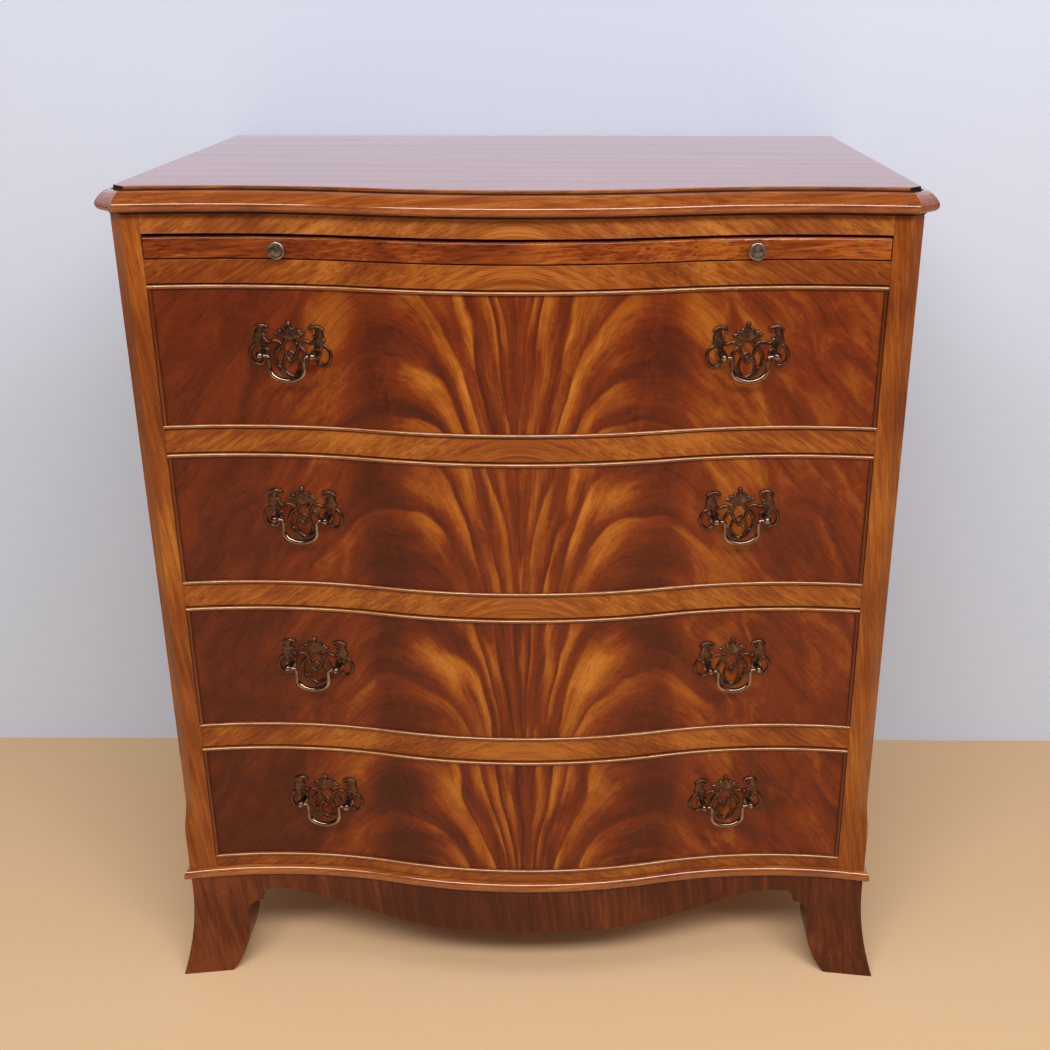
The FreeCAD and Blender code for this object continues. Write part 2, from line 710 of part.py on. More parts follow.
# Handle posts, drawn about the middle of a handle with the face at y = 0
roseY = "layout.plate_sag + dims.plate_clearance * 2 + dims.plate_thickness"
backOfFront = ("dims.front_thickness - (dims.hollow_radius + dims.front_thickness"
               " - sqrt((dims.hollow_radius + dims.front_thickness)^2"
               " - (dims.post_spacing / 2 - dims.nut_radius)^2))")
nutY = f"{backOfFront} + dims.plate_clearance * 2"
stemTail = f"{nutY} + dims.nut_thickness + dims.stem_end"
ballNeckY = "dims.bail_standoff - sqrt(dims.ball_radius^2 - dims.neck_radius^2)"
postProfile = [
    ("0", stemTail, None),
    ("0", "-(dims.bail_standoff + dims.ball_radius)", ("dims.ball_radius", "left")),
    ("dims.neck_radius", f"-({ballNeckY})", None),
    ("dims.neck_radius", f"-({roseY} + dims.rose_thickness)", None),
    ("dims.rose_radius", f"-({roseY} + dims.rose_thickness)", None),
    ("dims.rose_radius", f"-({roseY})", None),
    ("dims.stem_radius", f"-({roseY})", None),
    ("dims.stem_radius", stemTail, None),
]
postTurning = turned("post_turning", postProfile)
setPlace(postTurning, x="dims.post_spacing / 2")


# A rod along X or Y
def rod(name, radius, length, axis, x, y):
    item = doc.addObject("Part::Cylinder", name)
    item.setExpression("Radius", radius)
    item.setExpression("Height", length)
    turn = FreeCAD.Rotation(Vector(0, 0, 1), axis)
    item.Placement = FreeCAD.Placement(Vector(0, 0, 0), turn)
    setPlace(item, x, y)
    return item


pinBore = rod("pin_bore", "dims.bail_wire_radius + dims.bail_pin_clearance",
              "2 * dims.ball_radius + dims.bail_pin_depth", Vector(1, 0, 0),
              "dims.post_spacing / 2 - 2 * dims.ball_radius", "-dims.bail_standoff")
outerPost = cut("outer_post", postTurning, pinBore)
nutBlank = doc.addObject("Part::Prism", "nut_blank")
nutBlank.Polygon = 6
nutBlank.setExpression("Circumradius", "dims.nut_radius")
nutBlank.setExpression("Height", "dims.nut_thickness")
nutBlank.Placement = FreeCAD.Placement(Vector(0, 0, 0), FreeCAD.Rotation(Vector(0, 0, 1), Vector(0, 1, 0)))
setPlace(nutBlank, "dims.post_spacing / 2", nutY)
nutBore = rod("nut_bore", "dims.stem_radius + dims.plate_clearance", "3 * dims.nut_thickness",
              Vector(0, 1, 0), "dims.post_spacing / 2", f"{nutY} - dims.nut_thickness")
outerNut = cut("outer_nut", nutBlank, nutBore)
hardware = [outerPost, mirrored("inner_post", outerPost), outerNut, mirrored("inner_nut", outerNut)]
rightHardware = setOnHollow("right_hardware", hardware, "dims.handle_spread", "dims.handle_height")
leftHardware = mirrored("left_hardware", rightHardware)

# Pierced handle plate: straps drawn for posts at the drawn spacing, each start, middle, end and width
drawnSpacing = 46.5
straps = [
    ((7.3, 6.1), (13.9, -4.5), (10.5, -14.3), 2.2),
    ((10.5, -14.3), (6.4, -19.6), (0, -22.1), 2.4),
    ((7.3, 6.1), (4.9, -1.4), (0, -8.3), 2.0),
    ((0, 1.0), (4.6, -3.2), (7.1, -9.6), 2.0),
    ((7.1, -9.6), (6.2, -16.4), (0, -20.9), 2.0),
    ((3.4, 13.6), (4.7, 9.2), (7.3, 6.1), 2.4),
    ((7.3, 6.1), (11.8, 10.2), (17.6, 9.0), 2.2),
    ((17.6, 9.0), (20.2, 9.4), (23.0, 11.6), 2.4),
    ((27.0, 17.0), (26.4, 9.0), (23.6, 1.5), 7.6),
    ((28.0, 19.0), (24.6, 24.0), (19.9, 20.6), 2.6),
    ((28.0, 19.6), (29.4, 20.8), (30.8, 22.3), 2.2),
    ((28.6, 13.2), (30.0, 12.6), (31.3, 11.8), 1.9),
    ((29.0, 8.0), (36.0, -0.9), (32.4, -9.6), 2.2),
    ((32.4, -9.6), (27.2, -10.6), (23.8, -4.2), 2.4),
]
crownTips = [((0, 24.2), 2.2), ((0, 26.7), 1.7), ((4, 22.4), 1.8), ((7.4, 21.1), 1.6), ((10.6, 19.4), 1.5)]
pendants = [((0, -21.4), 2.6), ((10.6, -13.2), 1.8)]
crownArc = ((-12, 18.4), (0, 23.4), (12, 18.4))
crownBowl = ((12, 18.4), (0, 12.6), (-12, 18.4))
bossRadius = 5


# The plate's outline as a flat face in the plane of the handle
def plateFace():
    scale = dims("post_spacing") / drawnSpacing

    def at(point, side=1):
        return Vector(point[0] * scale * side, 0, point[1] * scale)

    def arc(points, side=1):
        return Part.Arc(*[at(point, side) for point in points]).toShape()

    def disc(point, radius, side):
        rim = Part.Circle(at(point, side), Vector(0, 1, 0), radius * scale)
        return Part.Face(Part.Wire([rim.toShape()]))

    faces = [Part.Face(Part.Wire([arc(crownArc), arc(crownBowl)]))]
    for side in (1, -1):
        for start, middle, end, width in straps:
            spine = Part.Wire([arc((start, middle, end), side)])
            faces.append(spine.makeOffset2D(width * scale / 2, 0, True, False))
        faces += [disc(point, radius, side) for point, radius in crownTips + pendants]
        faces.append(disc((drawnSpacing / 2, 0), bossRadius, side))
    return faces[0].fuse(faces[1:]).removeSplitter()


plateDepth = 4 * dims("plate_thickness")
platePrism = doc.addObject("Part::Feature", "plate_prism")
plateShape = plateFace().extrude(Vector(0, 2 * plateDepth, 0))
plateShape.translate(Vector(0, -1.5 * plateDepth, 0))
platePrism.Shape = plateShape
plateOuter = doc.addObject("Part::Cylinder", "plate_outer")
plateInner = doc.addObject("Part::Cylinder", "plate_inner")
plateReach = "2 * dims.post_spacing"
for item, radius in ((plateOuter, "dims.hollow_radius - dims.plate_clearance"),
                     (plateInner, "dims.hollow_radius - dims.plate_clearance - dims.plate_thickness")):
    item.setExpression("Radius", radius)
    item.setExpression("Height", plateReach)
    setPlace(item, "0", "-dims.hollow_radius", "-dims.post_spacing")
plateSlab = cut("plate_slab", plateOuter, plateInner)
plateBlank = doc.addObject("Part::Common", "plate_blank")
plateBlank.Base = platePrism
plateBlank.Tool = plateSlab
stemHoles = []
for side in ("", "-"):
    stemHoles.append(rod("stem_hole", "dims.stem_radius + dims.stem_clearance",
                         "3 * dims.front_thickness", Vector(0, 1, 0),
                         f"{side}dims.post_spacing / 2", "-1.5 * dims.front_thickness"))
stemTools = group("stem_tools", stemHoles)
plate = cut("plate", plateBlank, stemTools)
rightPlate = setOnHollow("right_plate", [plate], "dims.handle_spread", "dims.handle_height")
leftPlate = mirrored("left_plate", rightPlate)

# Swan-neck bail, a round wire swept along lines and tangent arcs
bail = newBody("bail")
turn = "dims.bail_corner_turn * 1deg"
pinEnd = "dims.post_spacing / 2 + dims.bail_pin_depth - dims.bail_pin_clearance * 4"
cornerX = f"dims.bail_arm - dims.bail_corner_radius + dims.bail_corner_radius * cos({turn})"
cornerZ = f"-dims.bail_shoulder - dims.bail_corner_radius * sin({turn})"
bailRight = [
    (pinEnd, "0", None),
    ("dims.bail_arm + dims.bail_elbow", "0", ("dims.bail_elbow", "left")),
    ("dims.bail_arm", "-dims.bail_elbow", None),
    ("dims.bail_arm", "-dims.bail_shoulder", ("dims.bail_corner_radius", "right")),
]
bailBottom = [(cornerX, cornerZ, (f"({cornerX}) / cos({turn})", "right"))]
bailLeft = [
    (f"-({cornerX})", cornerZ, ("dims.bail_corner_radius", "right")),
    ("-dims.bail_arm", "-dims.bail_shoulder", None),
    ("-dims.bail_arm", "-dims.bail_elbow", ("dims.bail_elbow", "left")),
    ("-(dims.bail_arm + dims.bail_elbow)", "0", None),
    (f"-({pinEnd})", "0", None),
]
bailPath = sketchOn(bail, "XZ_Plane", "dims.bail_standoff", bailRight + bailBottom + bailLeft, closed=False)
bailSection = bail.newObject("Sketcher::SketchObject", "bail_section")
bailSection.AttachmentSupport = [(originOf(bail, "YZ_Plane"), "")]
bailSection.MapMode = "FlatFace"
bailSection.setExpression("AttachmentOffset.Base.z", pinEnd)
wireCentre = Vector(-dims("bail_standoff"), 0, 0)
bailSection.addGeometry(Part.Circle(wireCentre, Vector(0, 0, 1), dims("bail_wire_radius")), False)
bindRule(bailSection, "Radius", (0,), "dims.bail_wire_radius")
circleCentre = 3
placeCorner(bailSection, 0, circleCentre, ("-dims.bail_standoff", "0"), wireCentre)
bailPipe = bail.newObject("PartDesign::AdditivePipe", "bail_pipe")
bailPipe.Profile = bailSection
bailPipe.Spine = (bailPath, [""])
doc.recompute()
rightBail = setOnHollow("right_bail", [bail], "dims.handle_spread", "dims.handle_height")
leftBail = mirrored("left_bail", rightBail)

# Drawer pieces, drawn with the floor of the opening at z = 0
frontBase = "dims.drawer_gap"
frontHeight = "dims.drawer_opening_height - 2 * dims.drawer_gap"
panelHalf = "layout.bead_half - dims.bead_thickness"
front = newBody("front_blank")
facePlan = sketchOn(front, "XY_Plane", f"{frontBase} + dims.bead_thickness",
                    strip("0", "-dims.bead_seat", panelHalf))
pad(front, facePlan, f"{frontHeight} - 2 * dims.bead_thickness")
rearPlan = sketchOn(front, "XY_Plane", frontBase,
                    strip("-dims.bead_seat", "-dims.front_thickness", "layout.side_inner"))
pad(front, rearPlan, frontHeight)
rightHoles = setOnHollow("right_holes", [stemTools], "dims.handle_spread", "dims.handle_height")
frontHoles = group("front_holes", [rightHoles, mirrored("left_holes", rightHoles)])
drawerFront = cut("drawer_front", front, frontHoles)

# Cock-bead: round-nosed strips above, below and at both ends
beadStrips = []
for name, z in (("bead_bottom", frontBase),
                ("bead_top", f"{frontBase} + {frontHeight} - dims.bead_thickness")):
    body = newBody(name)
    plan = sketchOn(body, "XY_Plane", z, strip("dims.bead_projection", "-dims.bead_seat", "layout.bead_half"))
    blank = pad(body, plan, "dims.bead_thickness")
    low = number(z)
    lowRound = roundEdges(body, blank, frontEdges(dims("bead_projection"), low), "dims.bead_round")
    high = number(f"{z} + dims.bead_thickness")
    roundEdges(body, lowRound, frontEdges(dims("bead_projection"), high), "dims.bead_round")
    beadStrips.append(body)
endBead = newBody("bead_end")
noseX = "layout.bead_half - dims.bead_thickness / 2"
noseY = faceY(noseX, "dims.bead_projection") + " + dims.bead_thickness / 2"
seatY = faceY(panelHalf, "-dims.bead_seat")
endBeadPlan = [
    (panelHalf, noseY, ("dims.bead_thickness / 2", "left")),
    (noseX, f"{noseY} - dims.bead_thickness / 2", ("dims.bead_thickness / 2", "left")),
    ("layout.bead_half", noseY, None),
    ("layout.bead_half", faceY("layout.bead_half", "-dims.bead_seat"), None),
    (panelHalf, seatY, None),
]
pad(endBead, sketchOn(endBead, "XY_Plane", f"{frontBase} + dims.bead_thickness", endBeadPlan),
    f"{frontHeight} - 2 * dims.bead_thickness")
beadStrips += [endBead, mirrored("bead_end_left", endBead)]
cockBead = group("cock_bead", beadStrips)

# Drawer sides with a groove for the bottom
sideFrontY = faceY("layout.side_outer", "-dims.bead_seat") + " + dims.glue_line"
sideFrontInnerY = faceY("layout.side_inner", "-dims.bead_seat") + " + dims.glue_line"
drawerSide = newBody("drawer_side")
sidePlan = [
    ("layout.side_inner", sideFrontInnerY, None),
    ("layout.side_outer", sideFrontY, None),
    ("layout.side_outer", "layout.drawer_end_y", None),
    ("layout.side_inner", "layout.drawer_end_y", None),
]
sideSketch = sketchOn(drawerSide, "XY_Plane", "dims.running_clearance", sidePlan)
pad(drawerSide, sideSketch, "dims.drawer_side_height")
bottomZ = "dims.drawer_bottom_rise"
grooveLow = f"{bottomZ} - dims.groove_clearance"
grooveHigh = f"{bottomZ} + dims.drawer_bottom_thickness + dims.groove_clearance"
grooveSection = [
    ("layout.side_inner - dims.groove_depth", grooveLow, None),
    ("layout.side_inner + dims.groove_depth", grooveLow, None),
    ("layout.side_inner + dims.groove_depth", grooveHigh, None),
    ("layout.side_inner - dims.groove_depth", grooveHigh, None),
]
pocket(drawerSide, sketchOn(drawerSide, "XZ_Plane", "0", grooveSection), "4 * dims.carcase_depth")
drawerSides = group("drawer_sides", [drawerSide, mirrored("drawer_side_left", drawerSide)])
drawerBottom = newBody("drawer_bottom")
bottomHalf = "layout.side_inner + dims.groove_depth - dims.groove_clearance"
bottomEndY = faceY("layout.side_inner", "-dims.front_thickness")
bottomPlan = serpentine("-dims.front_thickness", "layout.side_inner - dims.groove_clearance") + [
    (bottomHalf, f"{bottomEndY} + dims.groove_depth", None),
    (bottomHalf, "layout.drawer_end_y", None),
    (f"-({bottomHalf})", "layout.drawer_end_y", None),
    (f"-({bottomHalf})", f"{bottomEndY} + dims.groove_depth", None),
]
pad(drawerBottom, sketchOn(drawerBottom, "XY_Plane", bottomZ, bottomPlan), "dims.drawer_bottom_thickness")
backZ = f"{bottomZ} + dims.drawer_bottom_thickness"
drawerBack = box("drawer_back", "2 * layout.side_inner", "dims.drawer_back_thickness",
                 f"dims.running_clearance + dims.drawer_side_height - dims.drawer_back_drop - ({backZ})",
                 "-layout.side_inner", "layout.drawer_end_y - dims.drawer_back_thickness", backZ)

# The pieces in their final places
pieces = [top, edging, leftSide, rightSide, leftPost, rightPost, topRail, slideRail, drawerRails, bottomRail,
          backPanel, baseBoard, drawerRunners, slideBearers, drawerStops, baseMoulding, apron, frontFeet,
          rearFeet, sideAprons, glueBlocks, slideBoard, slideLip, slideKnobs]
for i, z in enumerate(openingZ, start=1):
    contents = {
        "front": [drawerFront],
        "cock_bead": [cockBead],
        "sides": [drawerSides],
        "back": [drawerBack],
        "bottom": [drawerBottom],
        "handle_plates": [rightPlate, leftPlate],
        "handle_posts": [rightHardware, leftHardware],
        "left_bail": [leftBail],
        "right_bail": [rightBail],
    }
    for name, items in contents.items():
        pieces.append(group(f"drawer_{i}_{name}", items, z))
doc.removeObject(gauge.Name)
doc.recompute()

# Every object sound, then one file for each piece
for item in doc.Objects:
    if "Invalid" in item.State or "Error" in item.State:
        raise RuntimeError(f"{item.Label} failed: {item.State}")
for piece in pieces:
    if piece.Shape.isNull() or not piece.Shape.isValid():
        raise RuntimeError(f"{piece.Label} has no valid shape")
os.makedirs("parts", exist_ok=True)
for piece in pieces:
    piece.Shape.exportStep(f"parts/{piece.Label}.step")
print(len(pieces), "pieces, overall", round(layout.top_z + dims("top_thickness"), 2), "mm high")
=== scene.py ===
import cmath
import math
import bmesh
import bpy
from mathutils import Matrix, Vector


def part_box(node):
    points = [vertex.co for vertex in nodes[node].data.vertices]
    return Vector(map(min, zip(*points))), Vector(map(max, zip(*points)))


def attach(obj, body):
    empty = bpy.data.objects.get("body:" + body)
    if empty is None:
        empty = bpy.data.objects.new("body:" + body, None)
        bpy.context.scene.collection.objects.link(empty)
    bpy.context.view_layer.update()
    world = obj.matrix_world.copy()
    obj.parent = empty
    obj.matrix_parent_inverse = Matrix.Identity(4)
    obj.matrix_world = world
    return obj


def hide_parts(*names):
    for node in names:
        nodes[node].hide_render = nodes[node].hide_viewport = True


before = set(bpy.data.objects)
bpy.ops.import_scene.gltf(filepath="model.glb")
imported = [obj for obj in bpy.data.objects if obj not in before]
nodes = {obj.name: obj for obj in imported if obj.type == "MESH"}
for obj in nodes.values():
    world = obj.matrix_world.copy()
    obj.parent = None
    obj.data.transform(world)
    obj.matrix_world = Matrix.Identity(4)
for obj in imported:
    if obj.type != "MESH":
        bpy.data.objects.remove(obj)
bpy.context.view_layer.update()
mm = 0.001
print("frame loaded:", len(nodes), "nodes")


# sRGB hex to the linear colour that shaders use
def linear(hexCode):
    channels = [int(hexCode[i:i + 2], 16) / 255 for i in (1, 3, 5)]
    return [c / 12.92 if c <= 0.04045 else ((c + 0.055) / 1.055) ** 2.4 for c in channels] + [1.0]


# one shader node: an input takes a fixed value or another node's output, a ramp its stops, the rest is settings
def addNode(tree, kind, inputs=(), stops=(), **settings):
    node = tree.nodes.new("ShaderNode" + kind)
    for name, setting in settings.items():
        setattr(node, name, setting)
    for socket, value in inputs.items() if isinstance(inputs, dict) else enumerate(inputs):
        if isinstance(value, bpy.types.NodeSocket):
            tree.links.new(value, node.inputs[socket])
        else:
            node.inputs[socket].default_value = value
    for i, (position, hexCode) in enumerate(stops):
        elements = node.color_ramp.elements
        stop = elements[i] if i < 2 else elements.new(position)
        stop.position, stop.color = position, linear(hexCode)
    return node.outputs


# settings of nodes that come back often: a product, a product with a sum added, and a soft step
product, productSum = {"operation": "MULTIPLY"}, {"operation": "MULTIPLY_ADD"}
softStep = {"interpolation_type": "SMOOTHSTEP"}


# a new material with an empty tree, its shader already joined to its output
def newFinish(name):
    material = bpy.data.materials.new(name)
    material.use_nodes = True
    tree = material.node_tree
    tree.nodes.clear()
    shader = tree.nodes.new("ShaderNodeBsdfPrincipled")
    addNode(tree, "OutputMaterial", {"Surface": shader.outputs["BSDF"]})
    return material, tree, shader


# repeats per millimetre of a pattern, from the size of its cells across and along the grain
def perMm(acrossMm, alongMm, grainAxis):
    repeats = [1 / acrossMm] * 3
    repeats[grainAxis] = 1 / alongMm
    return repeats


# what the plain woods share, unless a finish says otherwise: how far ribbons, clouds and pores show, which part
# of their noise gives the tones, where on that scale the four colours lie, and the gloss
everyWood = {
    "ribbonShare": 0.4, "cloudShare": 0.3, "tones": (0.36, 0.64), "stops": (0.0, 0.4, 0.65, 1.0),
    "poreMm": 0.9, "poreLengths": 14, "poreTones": (0.55, 0.7), "poreDepth": 0.4, "poreBump": 0.05,
    "poreBumpM": 0.0003, "sheenTones": (0.3, 0.7), "duller": 0.05, "glossier": 0.04, "coatRoughness": 0.08,
}


# Straight-grained wood under french polish or wax: fine stripes along the grain, satin ribbons that lean across
# it, both with a width and a length, dark pores drawn about twice as coarse as the real ones so that they show,
# and an even gloss
def polishedWood(finish):
    finish = {**everyWood, **finish}
    material, tree, shader = newFinish(finish["name"])
    along = finish["along"]
    objectPlace = addNode(tree, "TexCoord")["Object"]
    place = addNode(tree, "VectorMath", {0: objectPlace, "Scale": 1000.0}, operation="SCALE")[0]
    if "matchRoundMm" in finish:
        # book-matched at the middle of the chest, where the two leaves meet in a rounded tip
        x, y, z = addNode(tree, "SeparateXYZ", (place,))
        squared = addNode(tree, "Math", (x, x, finish["matchRoundMm"] ** 2), **productSum)[0]
        folded = addNode(tree, "Math", (squared,), operation="SQRT")[0]
        place = addNode(tree, "CombineXYZ", (folded, y, z))[0]
    leaning = addNode(tree, "VectorRotate", {"Vector": place, "Angle": finish["lean"]},
                      rotation_type="X_AXIS" if along == alongY else "Y_AXIS")[0]
    stripes = perMm(*finish["stripeMm"], along)
    striped = addNode(tree, "VectorMath", (leaning, stripes), **product)[0]
    grain = addNode(tree, "TexNoise", {"Vector": striped, "Scale": 1.0, "Detail": 5.0, "Roughness": 0.62,
                                       "Distortion": 0.6})["Fac"]
    ribbons = perMm(*finish["ribbonMm"], along)
    ribboned = addNode(tree, "VectorMath", (leaning, ribbons), **product)[0]
    ribbon = addNode(tree, "TexNoise", {"Vector": ribboned, "Scale": 1.0, "Detail": 4.0, "Roughness": 0.6,
                                        "Distortion": 0.7})["Fac"]
    cloud = addNode(tree, "TexNoise", {"Vector": place, "Scale": 1 / finish["cloudMm"], "Detail": 1.0})["Fac"]
    figure = addNode(tree, "Mix", {0: finish["ribbonShare"], 2: grain, 3: ribbon})[0]
    shaded = addNode(tree, "Mix", {0: finish["cloudShare"], 2: figure, 3: cloud})[0]
    tone = addNode(tree, "MapRange", (shaded, *finish["tones"]))[0]
    if "paleEnd" in finish:
        start, end, gain = finish["paleEnd"]
        sideways = addNode(tree, "SeparateXYZ", (place,))[0]
        paler = addNode(tree, "MapRange", (sideways, start, end, 0.0, gain), **softStep)[0]
        tone = addNode(tree, "Math", (tone, paler), operation="ADD")[0]
    colour = addNode(tree, "ValToRGB", (tone,), zip(finish["stops"], finish["colours"]))["Color"]
    poreSize = perMm(finish["poreMm"], finish["poreMm"] * finish["poreLengths"], along)
    pored = addNode(tree, "VectorMath", (leaning, poreSize), **product)[0]
    pores = addNode(tree, "TexNoise", {"Vector": pored, "Scale": 1.0, "Detail": 2.0})["Fac"]
    fleck = addNode(tree, "MapRange", (pores, *finish["poreTones"], 0.0, finish["poreDepth"]))[0]
    inked = addNode(tree, "Mix", {0: fleck, 6: colour, 7: linear(finish["poreColour"])}, data_type="RGBA")[2]
    tree.links.new(inked, shader.inputs["Base Color"])
    smoothest, roughest = finish["roughness"] - finish["glossier"], finish["roughness"] + finish["duller"]
    sheen = addNode(tree, "MapRange", (grain, *finish["sheenTones"], smoothest, roughest))[0]
    tree.links.new(sheen, shader.inputs["Roughness"])
    bump = addNode(tree, "Bump", {"Height": pores, "Strength": finish["poreBump"],
                                  "Distance": finish["poreBumpM"]}, invert=True)[0]
    tree.links.new(bump, shader.inputs["Normal"])
    shader.inputs["Specular IOR Level"].default_value = finish["specular"]
    shader.inputs["Coat Weight"].default_value = finish["coat"]
    shader.inputs["Coat Roughness"].default_value = finish["coatRoughness"]
    return material


acrossX, alongY, upZ = 0, 1, 2
# orange-brown upright strips with a satin vertical grain
postFinish = polishedWood({
    "name": "straight_grained_mahogany", "along": upZ, "stripeMm": (3, 120), "ribbonMm": (8, 70),
    "lean": 0.12, "cloudMm": 90, "poreMm": 0.8, "poreDepth": 0.5, "poreColour": "#431a06",
    "roughness": 0.36, "coat": 0.12, "specular": 0.32,
    "colours": ("#662a0a", "#864310", "#985216", "#ae6a24"),
})
# strips between the drawers, whose ribbons climb from both ends to the middle
rail = {
    "name": "ribbon_figured_mahogany", "along": acrossX, "stripeMm": (2.2, 26), "ribbonMm": (9, 44),
    "lean": -0.55, "ribbonShare": 0.42, "cloudMm": 60, "poreMm": 0.8, "poreDepth": 0.5,
    "poreColour": "#3c1605", "roughness": 0.36, "coat": 0.12, "specular": 0.32, "matchRoundMm": 45,
    "colours": ("#5a2308", "#7c3a0f", "#904b14", "#ae6722"),
    "paleEnd": (310, 60, 0.2),
}
railFinish = polishedWood(rail)
# the rail under the top, painted lighter as painted light, so that it holds its colour in the shade of the
# moulding
topRailFinish = polishedWood({**rail, "name": "ribbon_mahogany_painted_lighter",
                              "colours": ("#6c3314", "#8c4a1c", "#a05c24", "#bc7834")})
# darker slide edge, its open pores showing as short dashes
slideFinish = polishedWood({
    "name": "open_pored_mahogany", "along": acrossX, "stripeMm": (3, 90), "ribbonMm": (6, 60),
    "lean": 0.06, "cloudMm": 80, "poreMm": 1.1, "poreDepth": 0.85,
    "poreColour": "#330f05", "roughness": 0.32, "coat": 0.5, "specular": 0.32,
    "colours": ("#501d07", "#702d0a", "#863b0e", "#ac6020"),
    "paleEnd": (-120, 260, 0.4),
})
# mouldings, the glossiest edges, which take a hard line of light
moulded = {
    "name": "moulded_mahogany", "along": acrossX, "stripeMm": (3, 130), "ribbonMm": (7, 80),
    "lean": 0.1, "cloudMm": 90, "poreMm": 0.7, "poreColour": "#431a08",
    "roughness": 0.2, "coat": 1.0, "specular": 0.5,
    "colours": ("#662c0d", "#8a4414", "#9a521a", "#b06a2a"),
}
mouldingFinish = polishedWood(moulded)
# corners above and below the top moulding, painted dark as their shade and the shadow under the moulding, and
# as old wax and dust
paintedShadeFinish = polishedWood({
    **moulded, "name": "quirk_painted_shade", "stripeMm": (3, 60), "ribbonMm": (7, 30), "cloudMm": 40, "poreMm": 0.9,
    "poreDepth": 0.3, "poreColour": "#140a06", "roughness": 0.6, "coat": 0.0, "specular": 0.2,
    "colours": ("#1c0c06", "#2c150a", "#3a1d0d", "#542b13"),
})
# cock-beads, the same wood rounded and burnished, painted a little darker as the shaded side below their
# painted highlight, with the hardest line of light
beadFinish = polishedWood({
    **moulded, "name": "burnished_bead_painted_shade", "poreDepth": 0.3, "roughness": 0.22, "specular": 0.8,
    "colours": ("#56240a", "#713611", "#7f4217", "#905222"),
})
# painted highlight: the upper edge of the beads, painted pale, which draws a light line over each drawer
highlightBeadFinish = polishedWood({
    **moulded, "name": "bead_painted_highlight", "stripeMm": (2, 60), "ribbonMm": (5, 40),
    "cloudMm": 70, "poreDepth": 0.3, "poreColour": "#6a3818", "specular": 0.8,
    "colours": ("#9c5e34", "#bc8454", "#cc9a6c", "#dcb288"),
})
# upright cock-beads, painted dark red-brown as painted shade
shadedEndBeadFinish = polishedWood({
    **moulded, "name": "upright_bead_painted_shade", "along": upZ, "poreDepth": 0.3, "poreColour": "#30100a",
    "roughness": 0.3, "coat": 0.3, "specular": 0.4,
    "colours": ("#44180a", "#58240c", "#662d10", "#783a16"),
})
# reddish top, the most polished, which mirrors the wall behind it
topFinish = polishedWood({
    "name": "quarter_sawn_mahogany_top", "along": acrossX, "stripeMm": (12, 380),
    "ribbonMm": (34, 160), "lean": 0.0, "ribbonShare": 0.35, "cloudMm": 160, "poreDepth": 0.35,
    "poreColour": "#401a0e", "roughness": 0.2, "coat": 0.5, "specular": 0.5,
    "colours": ("#6c2a14", "#7e3518", "#8a3f1e", "#9a4e28"),
})
# sides with a plain upright grain
sideFinish = polishedWood({
    "name": "straight_grained_mahogany_side", "along": upZ, "stripeMm": (10, 330),
    "ribbonMm": (24, 150), "lean": 0.06, "cloudMm": 160, "poreColour": "#3c160a",
    "roughness": 0.34, "coat": 0.2, "specular": 0.4,
    "colours": ("#5c230b", "#7a3510", "#8a4216", "#a05822"),
})
# dark red-brown apron and feet, cross-cut, so that the grain stands upright, and paler to the left
apronFinish = polishedWood({
    "name": "plain_dark_mahogany", "along": upZ, "stripeMm": (5, 110), "ribbonMm": (14, 90),
    "lean": 0.12, "cloudMm": 110, "poreColour": "#260d05",
    "roughness": 0.38, "coat": 0.1, "specular": 0.3,
    "colours": ("#3e1507", "#4a1c09", "#58250d", "#753816"),
    "paleEnd": (-150, -320, 0.5),
})
# pale drawer linings under wax
liningFinish = polishedWood({
    "name": "waxed_oak_lining", "along": alongY, "stripeMm": (4, 190), "ribbonMm": (14, 120),
    "lean": 0.03, "ribbonShare": 0.35, "cloudMm": 120, "poreMm": 0.8, "poreDepth": 0.45,
    "poreColour": "#7d5730", "roughness": 0.5, "coat": 0.0, "specular": 0.4,
    "colours": ("#a07248", "#ba8c5f", "#c69a6d", "#d2aa7e"),
})
# bare planed boards of the back and the works
softwoodFinish = polishedWood({
    "name": "planed_softwood", "along": upZ, "stripeMm": (7, 260), "ribbonMm": (22, 160),
    "lean": 0.03, "ribbonShare": 0.3, "cloudMm": 150, "poreDepth": 0.3,
    "poreColour": "#8a5f36", "roughness": 0.62, "coat": 0.0, "specular": 0.4,
    "colours": ("#a27a49", "#bb935f", "#c6a06d", "#d3b182"),
})
print("plain woods mixed")

